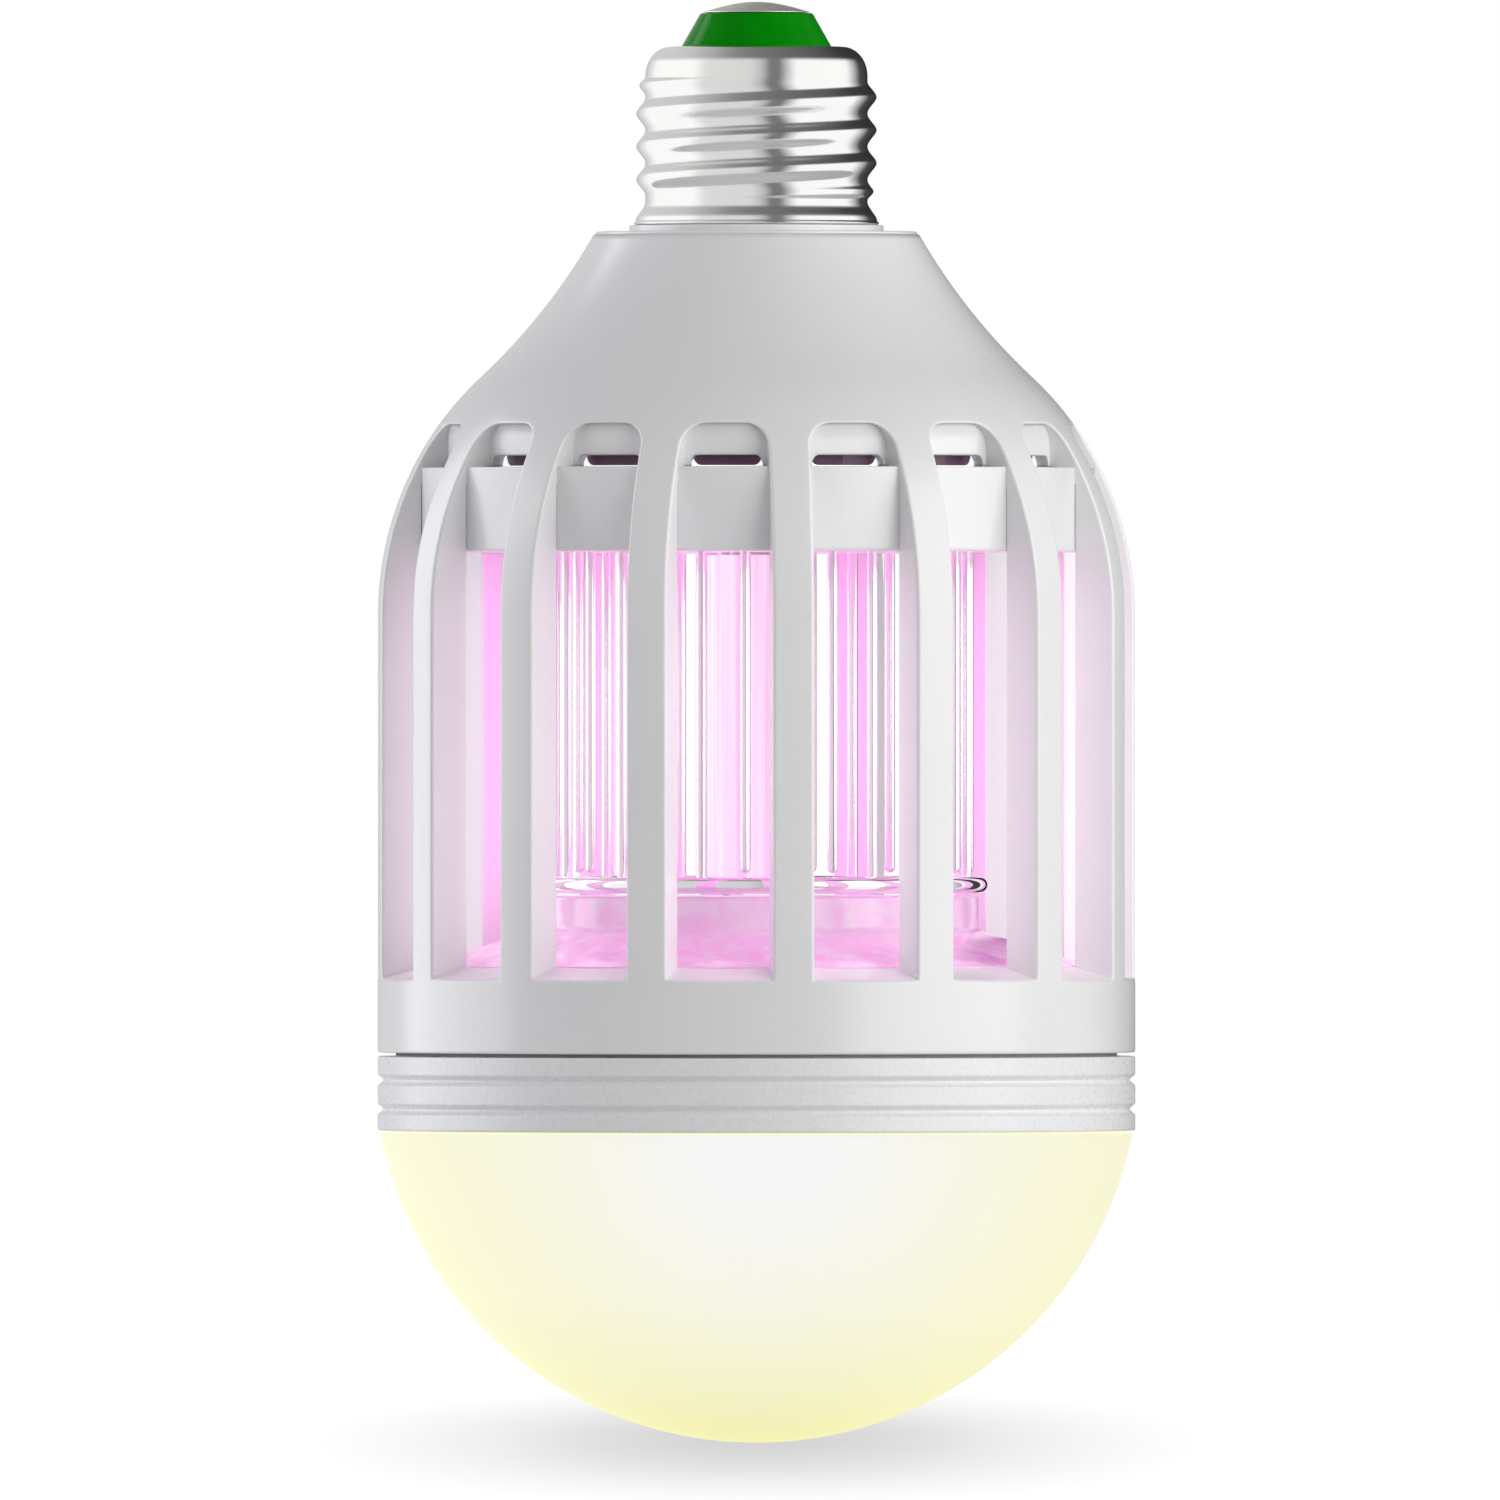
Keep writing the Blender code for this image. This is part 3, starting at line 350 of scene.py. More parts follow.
def show(name, data):
    """A new object of this data, at the origin and in the scene."""
    thing = bpy.data.objects.new(name, data)
    bpy.context.scene.collection.objects.link(thing)
    return thing


def make_piece(name, shells, material, replaced=()):
    """One smooth piece from shells of points and quads, with its doubles merged."""
    offset = np.cumsum([0] + [len(points) for points, _ in shells])
    points = np.concatenate([points for points, _ in shells])
    quads = np.concatenate([quads + start for (_, quads), start in zip(shells, offset)])
    mesh = bpy.data.meshes.new(name)
    mesh.from_pydata(points, [], quads.tolist())
    bm = bmesh.new()
    bm.from_mesh(mesh)
    bmesh.ops.remove_doubles(bm, verts=bm.verts, dist=0.001 * MM)
    bmesh.ops.recalc_face_normals(bm, faces=bm.faces)
    open_edges = sum(1 for edge in bm.edges if len(edge.link_faces) != 2)
    bm.to_mesh(mesh)
    bm.free()
    if open_edges:
        raise RuntimeError("%s has %d open edges" % (name, open_edges))
    mesh.shade_smooth()
    mesh.materials.append(material)
    piece = show(name, mesh)
    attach(piece, BODY)
    if replaced:
        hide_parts(*replaced)


# The "from" limits for a noise, whose values mostly lie between these.
NOISE_SPAN = {1: 0.3, 2: 0.7}


def add(tree, kind, inputs=None, stops=(), out=None, **settings):
    """Add one node: its settings, a ramp's stops, and each input's value or the socket for it.

    The kind is the node's type without ShaderNode. The output that is named comes back, or else
    the first one in use. An input goes by its name or its place: a Mix of colours has its share
    at 0 and its colours at 6 and 7, and a Map Range its value at 0, its "from" limits at 1 and 2
    and its "to" ones at 3 and 4.
    """
    made = tree.nodes.new("ShaderNode" + kind)
    for key, value in settings.items():
        setattr(made, key, value)
    for key, value in (inputs or {}).items():
        if isinstance(value, bpy.types.NodeSocket):
            tree.links.new(value, made.inputs[key])
        else:
            made.inputs[key].default_value = value
    if stops:
        elements = made.color_ramp.elements
        while len(elements) < len(stops):
            elements.new(0.5)
        for element, (position, shown) in zip(elements, stops):
            element.position, element.color = position, shown
    return made.outputs[out] if out else next(one for one in made.outputs if one.enabled)


def shade(base, factor=1.0):
    """A colour made darker or lighter, with its alpha."""
    return (*(min(1.0, c * factor) for c in base), 1.0)


def start_material(name, settings):
    """A material with its shader's own values set, its tree, its shader and Object coordinates."""
    material = bpy.data.materials.new(name)
    material.use_nodes = True
    tree = material.node_tree
    shader = tree.nodes["Principled BSDF"]
    for key, value in settings.items():
        shader.inputs[key].default_value = value
    place = add(tree, "TexCoord", out="Object")
    return material, tree, shader, place


def feed(tree, shader, sockets):
    """Link a socket to each named input of the shader."""
    for key, socket in sockets.items():
        tree.links.new(socket, shader.inputs[key])


def plain_moulding(name, base):
    """Injection-moulded white ABS: an even white with a half gloss that shows broad soft bands.

    The mould's fine grain breaks up the gloss. A real one is about 0.05 mm, too fine to show, so
    it is drawn at 0.22 mm.
    """
    material, tree, shader, place = start_material(name, {"IOR": 1.53})
    cloud = add(tree, "TexNoise", {"Vector": place, "Scale": 1 / (14 * MM)})
    grain = add(tree, "TexNoise", {"Vector": place, "Scale": 1 / (0.22 * MM), "Detail": 3.0})
    tint = add(tree, "Mix", {0: cloud, 6: shade(base, 0.965), 7: shade(base, 1.02)},
               data_type="RGBA")
    gloss = add(tree, "MapRange", {0: grain, **NOISE_SPAN, 3: 0.2, 4: 0.28})
    relief = add(tree, "Bump", {"Height": grain, "Distance": 0.006 * MM})
    feed(tree, shader, {"Base Color": tint, "Roughness": gloss, "Normal": relief})
    return material


def painted_glow_moulding(name, base, glow, pale, deep):
    """Moulded ABS from a polished mould, with the column's pink light painted on it by its
    emission.

    The painted glow lies in soft pink clouds, with paler wisps some 4 mm across that are painted
    reflections, and deeper painted pink streaks round its foot. Its own white is darker, 0.6 to
    0.75 of the moulding's.
    """
    material, tree, shader, place = start_material(name, {"IOR": 1.53, "Emission Strength": 0.36})
    cloud = add(tree, "TexNoise", {"Vector": place, "Scale": 1 / (8 * MM), "Detail": 3.0})
    wisp = add(tree, "TexNoise",
               {"Vector": place, "Scale": 1 / (4 * MM), "Detail": 5.0, "Distortion": 1.6})
    share = add(tree, "MapRange", {0: wisp, 1: 0.42, 2: 0.68, 3: 0.0, 4: 1.0})
    # The painted glow: the column's pink, paler where the wisps lie as painted reflections.
    clouds = add(tree, "Mix", {0: share, 6: shade(glow), 7: shade(pale)}, data_type="RGBA")
    # Painted glow streaks: deeper pink upright streaks that grow from -75 mm down to -79 mm, near
    # the foot.
    upright = add(tree, "Mapping", {"Vector": place, "Scale": (1.0, 1.0, 0.15)})
    glow_streak_noise = add(tree, "TexNoise", {"Vector": upright, "Scale": 1 / (1.6 * MM), "Detail": 4.0})
    glow_streak_share = add(tree, "MapRange", {0: glow_streak_noise, 1: 0.42, 2: 0.6})
    height = add(tree, "SeparateXYZ", {0: place}, out="Z")
    foot = add(tree, "MapRange", {0: height, 1: -75 * MM, 2: -79 * MM})
    painted_streak_mask = add(tree, "Math", {0: glow_streak_share, 1: foot}, operation="MULTIPLY")
    lit = add(tree, "Mix", {0: painted_streak_mask, 6: clouds, 7: shade(deep)}, data_type="RGBA")
    tint = add(tree, "Mix", {0: cloud, 6: shade(base, 0.6), 7: shade(base, 0.75)},
               data_type="RGBA")
    gloss = add(tree, "MapRange", {0: wisp, **NOISE_SPAN, 3: 0.1, 4: 0.26})
    relief = add(tree, "Bump", {"Height": wisp, "Distance": 0.03 * MM})
    feed(tree, shader, {"Base Color": tint, "Emission Color": lit, "Roughness": gloss,
                        "Normal": relief})
    return material


def painted_glow_nylon(name, base):
    """Moulded natural nylon: thin, and milky bright from a painted glow, its own colour emitted.
    """
    material, tree, shader, place = start_material(
        name, {"Roughness": 0.5, "Emission Strength": 1.0})
    cloud = add(tree, "TexNoise", {"Vector": place, "Scale": 1 / (6 * MM)})
    tint = add(tree, "Mix", {0: cloud, 6: shade(base, 0.93), 7: shade(base)}, data_type="RGBA")
    feed(tree, shader, {"Base Color": tint, "Emission Color": tint})
    return material


def plated_metal(name, base, low, high, stretch, streak=0.4 * MM):
    """Plated or drawn metal: mirror-like under hazy patches, with faint rolling or draw streaks.

    The streaks change only the roughness, from low to high, so that reflections stay straight.
    Real ones are under 0.1 mm apart, too fine to show, so they are drawn 0.4 mm apart or more.
    """
    material, tree, shader, place = start_material(name, {"Metallic": 1.0})
    along = add(tree, "Mapping", {"Vector": place, "Scale": stretch})
    streaks = add(tree, "TexNoise", {"Vector": along, "Scale": 1 / streak, "Detail": 3.0})
    haze = add(tree, "TexNoise", {"Vector": place, "Scale": 1 / (5 * MM)})
    tint = add(tree, "Mix", {0: haze, 6: shade(base, 0.96), 7: shade(base)}, data_type="RGBA")
    gloss = add(tree, "MapRange", {0: streaks, **NOISE_SPAN, 3: low, 4: high})
    feed(tree, shader, {"Base Color": tint, "Roughness": gloss})
    return material


def green_glass(name, base):
    """Pressed glass: deep clear green with slow clouds, wet gloss only at its round edges."""
    material, tree, shader, place = start_material(
        name, {"Roughness": 0.1, "IOR": 1.52, "Specular IOR Level": 0.05})
    cloud = add(tree, "TexNoise", {"Vector": place, "Scale": 1 / (3 * MM), "Detail": 3.0})
    tint = add(tree, "Mix", {0: cloud, 6: shade(base, 0.75), 7: shade(base, 1.2)},
               data_type="RGBA")
    relief = add(tree, "Bump", {"Height": cloud, "Distance": 0.02 * MM})
    feed(tree, shader, {"Base Color": tint, "Normal": relief})
    return material


def powder_coat(name, base):
    """Powder-coated aluminium: the baked coat's orange peel, 0.45 mm apart, blurs its gloss."""
    material, tree, shader, place = start_material(name, {"IOR": 1.5})
    peel = add(tree, "TexNoise", {"Vector": place, "Scale": 1 / (0.45 * MM)})
    specks = add(tree, "TexVoronoi", {"Vector": place, "Scale": 1 / (0.6 * MM)})
    tint = add(tree, "Mix", {0: specks, 6: shade(base, 0.965), 7: shade(base, 1.03)},
               data_type="RGBA")
    gloss = add(tree, "MapRange", {0: peel, **NOISE_SPAN, 3: 0.24, 4: 0.4})
    relief = add(tree, "Bump", {"Height": peel, "Distance": 0.015 * MM})
    feed(tree, shader, {"Base Color": tint, "Roughness": gloss, "Normal": relief})
    return material


def lit_column(name, glow, pale):
    """Extruded acrylic tube lit from inside: pink light with paler draw lines along its length.

    Real draw lines are about 0.2 mm apart, too fine to show behind the rods, so they are drawn
    1.1 mm apart.
    """
    material, tree, shader, place = start_material(
        name, {"Roughness": 0.3, "IOR": 1.49, "Emission Strength": 0.82})
    along = add(tree, "Mapping", {"Vector": place, "Scale": (1.0, 1.0, 0.01)})
    lines = add(tree, "TexNoise", {"Vector": along, "Scale": 1 / (1.1 * MM), "Detail": 3.0})
    share = add(tree, "MapRange", {0: lines, 1: 0.4, 2: 0.66})
    lit = add(tree, "Mix", {0: share, 6: shade(glow), 7: shade(pale)}, data_type="RGBA")
    body = add(tree, "Mix", {0: share, 6: shade(glow, 0.25), 7: shade(pale, 0.3)},
               data_type="RGBA")
    feed(tree, shader, {"Base Color": body, "Emission Color": lit})
    return material


def opal_dome(name, body, stops):
    """Moulded opal polycarbonate lit from inside: warm white near the rim, yellower at the crown.

    Light spreads inside the wall, so no edge or chip shows through. Its own white body adds the
    cooler white of the room where that lights it.
    """
    material, tree, shader, place = start_material(
        name, {"Roughness": 0.55, "IOR": 1.58, "Specular IOR Level": 0.3,
               "Emission Strength": 1.0})
    height = add(tree, "SeparateXYZ", {0: place}, out="Z")
    cloud = add(tree, "TexNoise", {"Vector": place, "Scale": 1 / (25 * MM)})
    level = add(tree, "MapRange", {0: height, 1: DOME_LOW[2], 2: DOME_HIGH[2]})
    drift = add(tree, "MapRange", {0: cloud, **NOISE_SPAN, 3: -0.02, 4: 0.02})
    share = add(tree, "Math", {0: level, 1: drift}, operation="ADD")
    lit = add(tree, "ValToRGB", {0: share}, stops)
    tint = add(tree, "Mix", {0: cloud, 6: shade(body, 0.96), 7: shade(body)}, data_type="RGBA")
    feed(tree, shader, {"Base Color": tint, "Emission Color": lit})
    return material


def plain_part(name, base, roughness, grain, metallic=0.0, glow=0.0):
    """A small inner part: its own grain varies its colour and relief."""
    material, tree, shader, place = start_material(
        name, {"Roughness": roughness, "Metallic": metallic, "Emission Strength": glow})
    pattern = add(tree, "TexNoise", {"Vector": place, "Scale": 1 / (grain * MM), "Detail": 3.0})
    tint = add(tree, "Mix", {0: pattern, 6: shade(base, 0.75), 7: shade(base, 1.2)},
               data_type="RGBA")
    relief = add(tree, "Bump", {"Height": pattern, "Distance": 0.01 * MM})
    feed(tree, shader, {"Base Color": tint, "Normal": relief, "Emission Color": tint})
    return material


# The inner parts' finishes, by how a node's name starts: the material's name, its colour, its
# roughness and its grain in millimetres, then metallic and glow where it has them.
INNER_FINISHES = {
    # Dark solder mask screened on glass fibre board: a satin skin, blotchy where copper lies.
    "driver_board": ("solder_mask_dark", "#5E3A55", 0.35, 0.7),
    # Pale solder mask screened on board: takes the column's pink light evenly.
    "uv_board": ("pale_solder_mask", "#F2D6EA", 0.35, 1.2),
    # Zinc-plated rolled steel: grey and bright with a faint spangle.
    "board_screw": ("zinc_plated_steel", "#B9BABD", 0.3, 0.4, 1.0),
    # Sintered ferrite: near black and matt, with a fine gritty skin.
    "transformer_core": ("sintered_ferrite", "#26262A", 0.6, 0.3),
    # Sintered ferrite wound with lacquered wire: dark brown with a dull shine.
    "choke": ("wound_ferrite", "#2C2A28", 0.55, 0.5),
    # Wound polyester tape: yellow, smooth, with soft changes where its layers lap.
    "transformer_coil": ("polyester_tape", "#E0BE48", 0.35, 2),
    # Aluminium cans in shrunk plastic sleeves: deep blue and dark grey with a smooth gloss.
    "capacitor_tall": ("sleeved_aluminium_can", "#20283C", 0.3, 1),
    "capacitor_small": ("sleeved_small_can", "#23272F", 0.3, 1),
    # Dipped epoxy: brick red with a thick glossy skin.
    "capacitor_film": ("dipped_epoxy", "#8E2E1E", 0.25, 0.8),
    # Extruded vinyl and silicone insulation: smooth with a dull gloss.
    "live_lead": ("pvc_insulation_red", "#B3201C", 0.4, 0.6),
    "neutral_lead": ("pvc_insulation_white", "#E4E4E2", 0.4, 0.6),
    "light_lead": ("silicone_insulation", "#E9E7E2", 0.5, 0.6),
    # Phosphor cast over a chip: grainy, and it glows in its own colour.
    "uv_led": ("violet_phosphor_chip", "#E9B0F2", 0.3, 0.5, 0.0, 0.8),
    "light_led": ("yellow_phosphor_chip", "#F4DC7A", 0.3, 0.5, 0.0, 0.8),
    # White solder mask on an aluminium board: pale and even, to throw the light forward.
    "light_board": ("white_solder_mask", "#EDEDEB", 0.35, 1.5),
}


def housing_shells(cage):
    """The one-piece housing: a strip round each slot, then the turned shoulder, neck and ring."""
    outline = Outline(cage)
    half_turn = math.pi / cage.ribs
    skirt_middle, ledge = cage.skirt - 0.15 * MM, -cage.skirt_low
    thinnest, inner_edge_round, repeats = 0.6 * MM, 0.12 * MM, 12

    def inner_radius(z):
        """The ribs' inner faces, and further in where they run into the skirt."""
        steps = np.interp(z, [ledge - LEDGE_STEP, ledge], [cage.rib_inner, skirt_middle])
        return np.minimum(steps, wall_radius(z) - thinnest)

    def slot_points(reach):
        """The slot's wall at a reach from the axis, between two ribs of even width."""
        half = (reach * math.tan(half_turn) - cage.rib_width / 2 / math.cos(half_turn)
                - outline.inset)
        rise = outline.weight * cage.floor_slope * (BODY_R - reach)
        return np.stack([reach, outline.share * half, outline.height + rise], -1)

    def edge_points(radius_of):
        """Where the wall meets a surface of the given radius, by repeated steps."""
        reach = np.full(len(outline.share), BODY_R)
        for _ in range(repeats):
            point = slot_points(reach)
            reach = np.sqrt(radius_of(point[:, 2]) ** 2 - point[:, 1] ** 2)
        return slot_points(reach)

    def border_rows(edge, radius_of, round_size, shares):
        """Rows on a surface from the slot's rounded edge out to the sector's border."""
        turn, level = np.arctan2(edge[:, 1], edge[:, 0]), edge[:, 2]
        border = around(radius_of(outline.level), outline.side, outline.level)
        first = round_size / np.linalg.norm(border - edge, axis=1)
        share = first + (1 - first) * shares[:, None]
        turns = turn + (outline.side - turn) * share
        levels = level + (outline.level - level) * share
        return around(radius_of(levels), turns, levels)

    def edge_rows(edge, surface, wall, steps):
        """A quarter round: edge + side (1 - sin t) + wall (1 - cos t), from surface to wall."""
        t = np.linspace(0, math.pi / 2, steps + 1)[1:-1, None, None]
        return edge + (surface - edge) * (1 - np.sin(t)) + (wall - edge) * (1 - np.cos(t))

    shares = np.array([1.0, 0.7, 0.35, 0.1, 0.0])
    outer_edge, inner_edge = edge_points(wall_radius), edge_points(inner_radius)
    outer_rows = border_rows(outer_edge, wall_radius, cage.edge, shares)
    inner_rows = border_rows(inner_edge, inner_radius, inner_edge_round, shares[::-1])
    depth = np.linalg.norm(inner_edge - outer_edge, axis=1)[:, None]
    inward = (inner_edge - outer_edge) / depth
    start = outer_edge + inward * np.minimum(cage.edge, depth * 0.4)
    end = inner_edge - inward * np.minimum(inner_edge_round, depth * 0.3)
    walls = start + (end - start) * np.array([0.0, 0.05, 0.5, 0.95, 1.0])[:, None, None]
    strip = np.concatenate([outer_rows, edge_rows(outer_edge, outer_rows[-1], start, 4), walls,
                            edge_rows(inner_edge, inner_rows[0], end, 2)[::-1], inner_rows])
    rows, columns = strip.shape[:2]
    turns = full_turn(cage.ribs)
    c, s = np.cos(turns)[:, None, None], np.sin(turns)[:, None, None]
    x, y, z = strip[..., 0], strip[..., 1], strip[..., 2]
    sectors = np.stack([x * c - y * s, x * s + y * c, z + 0 * c], -1)
    quads = repeated(grid_quads(rows, columns, False, True), rows * columns, cage.ribs)

    neck_edge, neck_seat, seat_top = -0.3 * MM, 13.95 * MM, 0.7 * MM
    spigot, bore, high = 11.2 * MM, 9.4 * MM, HOUSING_HIGH[2]
    rise = np.concatenate([np.linspace(TOP_BORDER, MEET_Z, 6),
                           np.linspace(MEET_Z, neck_edge, 26)[1:]])
    shoulder = np.stack([wall_radius(rise), rise], -1)
    top = rounded([(cage.neck, neck_edge, 0.0), (cage.neck, 0.0, 0.25 * MM),
                   (neck_seat, 0.0, FINE), (neck_seat, seat_top, 0.15 * MM),
                   (spigot, seat_top, 0.0), (spigot, high, 0.0), (bore, high, 0.0),
                   (bore, -cage.wall, 0.0)])[1:]
    back = np.linspace(-cage.wall, TOP_BORDER, 12)[1:]
    inside = np.stack([wall_radius(back) - cage.wall, back], -1)
    inside[-1] = (inner_radius(np.array(TOP_BORDER)), TOP_BORDER)
    ring_seat, seat_low, low = 39.9 * MM, -86 * MM, HOUSING_LOW[2]
    ring = rounded([(BODY_R, LOW_BORDER, 0.0), (BODY_R, low, 0.3 * MM),
                    (ring_seat, low, 0.15 * MM), (ring_seat, seat_low, 0.0),
                    (cage.rib_inner, seat_low, 0.0), (cage.rib_inner, LOW_BORDER, 0.0)])
    shells = [(sectors.reshape(-1, 3), quads)]
    for profile, sector_turns in ((np.concatenate([shoulder, top, inside]), outline.top_turns),
                                  (ring, outline.low_turns)):
        grid = turned(profile, (turns[:, None] + sector_turns[None]).reshape(-1))
        shells.append((grid.reshape(-1, 3), grid_quads(*grid.shape[:2], False, True)))
    return shells


def window_edge(half, corner, low, top, steps=7):
    """Half a window's outline: an ellipse's quarter from its low corner to its flat top.

    Returns how far aside each point lies and its height. The aside is half less corner
    (1 - cos t) and the height low plus the window's height sin t.
    """
    t = np.linspace(0.0, math.pi / 2, steps)
    aside = np.append(half - corner * (1 - np.cos(t)), 0.0)
    return aside, np.append(low + (top - low) * np.sin(t), top)


def notched_ring(profile, radius, aside, heights, low, count_round):
    """A ring whose edge follows an outline over each slot: the profile's rows move with it.

    Each row is (radius, share of the outline's height, height added). A column's angle is the
    arcsine of aside over radius, so that the outline keeps its width.
    """
    half_turn = math.pi / count_round
    between = np.linspace(0.0, 1.0, 6)[1:-1]
    window = np.arcsin(np.concatenate([-aside, aside[-2::-1]]) / radius)
    gap = window[-1] + (2 * half_turn - 2 * window[-1]) * between
    turns = full_turn(count_round)[:, None]
    angles = (turns + np.concatenate([window, gap])[None]).reshape(-1)
    edge = np.tile(np.concatenate([heights, heights[-2::-1], 0 * between + low]), count_round)
    rows = np.asarray(profile)[:, :, None]
    grid = around(rows[:, 0], angles, rows[:, 1] * edge + rows[:, 2])
    return grid.reshape(-1, 3), grid_quads(*grid.shape[:2], True, True)


def skirt_shells(cage):
    """The skirt inside the slot heads: a ring whose lower edge rises over each window."""
    low, edge, high = -cage.skirt_low, 0.12 * MM, -21.0 * MM
    aside, heights = window_edge(cage.window_half, cage.window_corner, low, -cage.window_top)
    profile = [(cage.skirt, 0, high), (cage.skirt, 1, 2 * edge), (cage.skirt, 1, edge),
               (cage.skirt - edge, 1, 0.0), (cage.skirt_bore + edge, 1, 0.0),
               (cage.skirt_bore, 1, edge), (cage.skirt_bore, 1, 2 * edge),
               (cage.skirt_bore, 0, high)]
    return [notched_ring(profile, cage.skirt, aside, heights, low, cage.ribs)]


def carrier_shells(cage):
    """The board's carrier: a thin ring behind the windows with a notch in each.

    Its upper edge drops in each window, so that a white corner shows at both of its ends.
    """
    low, high, edge = -cage.skirt_low, -cage.window_top + 0.3 * MM, 0.05 * MM
    foot, notch_half, notch_corner = low - 0.05 * MM, cage.window_half - 0.15 * MM, 0.95 * MM
    aside, heights = window_edge(notch_half, notch_corner, high, low + 0.1 * MM, 5)
    outer, inner = cage.skirt_bore - CLEAR, BOARD_R + 0.04 * MM
    profile = [(outer, 0, foot), (outer, 1, -edge), (outer - edge, 1, 0.0),
               (inner + edge, 1, 0.0), (inner, 1, -edge), (inner, 0, foot)]
    return [notched_ring(profile, outer, aside, heights, high, cage.ribs)]


def holder_shells(cage):
    """The grid's holder: a turned cup that hangs from the skirt, with the wires' hole."""
    low, high, radius = HOLDER_LOW[2], -cage.skirt_low - CLEAR, cage.rib_inner - CLEAR
    floor, inner = low + 2.2 * MM, radius - 2 * MM
    profile = rounded([(radius, high, SOFT), (radius, low, 0.4 * MM),
                       (WIRE_BORE, low, SOFT), (WIRE_BORE, floor, SOFT),
                       (inner, floor, 0.3 * MM), (inner, high, SOFT)])
    return [lathe(profile, 256)]


def base_shells(cage, grid):
    """The base: a turned pedestal that runs out into the slots' sloped floor."""
    top, low, out = BASE_HIGH[2], BASE_LOW[2], BASE_HIGH[0]
    pedestal, wall = grid.pedestal, 1.8 * MM
    floor_in, floor_out = (-cage.slot_floor + (BODY_R - reach) * cage.floor_slope
                           for reach in (pedestal, out))
    profile = rounded([(WIRE_BORE, top, SOFT), (pedestal, top, 0.5 * MM),
                       (pedestal, floor_in, 0.8 * MM), (out, floor_out, 0.15 * MM),
                       (out, low, SOFT), (out - wall, low, SOFT),
                       (out - wall, floor_out - wall, 0.3 * MM),
                       (pedestal - wall, floor_in - wall, 0.3 * MM),
                       (pedestal - wall, top - wall, 0.3 * MM),
                       (WIRE_BORE, top - wall, SOFT)], 6)
    return [lathe(profile, 224)]


def shell_shells(cap):
    """The rolled screw shell.

    Its threaded rows have the radius root + (crest - root) rise(phase) fade(height). phase is
    height over pitch less turn, so the crests climb round the shell. rise is a quarter of a
    pointed wave, 1 less the size of the phase's sine, and three quarters of a cosine wave. Above
    it the shell turns in over a quarter of an ellipse. Below it the rim flares by
    fall^2 (3 - 2 fall), where fall goes from 0 to 1 down its height.
    """
    turns = full_turn(224)
    lip, corner, fade_length, wall = 0.35 * MM, 2.7 * MM, 1.35 * MM, 0.7 * MM
    hole, pointed_share, softening = 8.5 * MM, 0.25, 0.03
    top, rim_r, rim_z = SHELL_HIGH[2], SHELL_HIGH[0], SHELL_LOW[2] - 0.25 * MM
    over = arc_points((0.0, 0.0), 1.0, 90, 4, 11) * (corner, top - cap.thread_high)
    over += (cap.root - corner, cap.thread_high)
    threaded = np.linspace(cap.thread_high, cap.thread_low, 88)
    flare = rim_r - cap.root - lip / 2
    fall = np.linspace(0.0, 1.0, 12)[1:]
    skirt = np.stack([cap.root + flare * fall ** 2 * (3 - 2 * fall),
                      rim_z + lip + cap.flare * (1 - fall)], -1)
    rim = arc_points((rim_r - lip / 2, rim_z + lip / 2), lip / 2, 90, -90, 6)
    inside = [(cap.bore + 1.2 * MM, rim_z), (cap.bore, rim_z + 1.4 * MM),
              (cap.bore, top - 2.8 * MM), (cap.bore - 2 * MM, top - wall), (hole, top - wall)]
    profile = np.concatenate([[(hole, top - 0.15 * MM), (hole + 0.15 * MM, top)], over,
                              np.stack([0 * threaded + cap.root, threaded], -1), skirt, rim,
                              inside])
    grid = turned(profile, turns)
    first = 2 + len(over)
    height = threaded[:, None]
    phase = (height - cap.first_crest) / cap.pitch - (turns[None] + math.pi / 2) / TAU
    sine = np.sqrt(np.sin(np.pi * phase) ** 2 + softening)
    pointed = (sine.max() - sine) / (sine.max() - sine.min())
    rise = pointed_share * pointed + (1 - pointed_share) * (0.5 + 0.5 * np.cos(TAU * phase))
    fade = np.minimum(cap.thread_high - height, height - cap.thread_low) / fade_length
    fade = np.clip(fade, 0, 1)
    fade = fade ** 2 * (3 - 2 * fade)
    radius = cap.root + (cap.crest - cap.root) * rise * fade
    grid[first:first + len(threaded)] = around(radius, turns, height)
    return [(grid.reshape(-1, 3), grid_quads(*grid.shape[:2], True, True))]


def insulator_shells():
    """The turned cone between shell and contact, with the contact's hole."""
    low, high, shoulder = INSULATOR_LOW[2], INSULATOR_HIGH[2], 20.4 * MM
    hole, top, wide = 1.9 * MM, 6.15 * MM, 8.2 * MM
    profile = rounded([(hole, high, 0.0), (top, high, SOFT), (wide, shoulder, 0.1 * MM),
                       (wide, low, 0.0), (hole, low, 0.0)])
    return [lathe(profile, 128)]


def contact_shells(cap):
    """The contact: its height falls from the axis as the cosine of a quarter turn, over a pin."""
    top, foot, reach = CONTACT_HIGH[2], INSULATOR_HIGH[2] + 0.1 * MM, cap.contact_radius
    pin = 1.6 * MM
    share = np.linspace(0.0, 1.0, 18)
    dome = np.stack([reach * share, foot + (top - foot) * np.cos(share * math.pi / 2)], -1)
    under = [(reach - 0.3 * MM, foot - 0.02 * MM), (pin, foot - 0.05 * MM),
             (pin, CONTACT_LOW[2]), (0.0, CONTACT_LOW[2])]
    return [lathe(np.concatenate([dome, under]), 96, closed=False)]


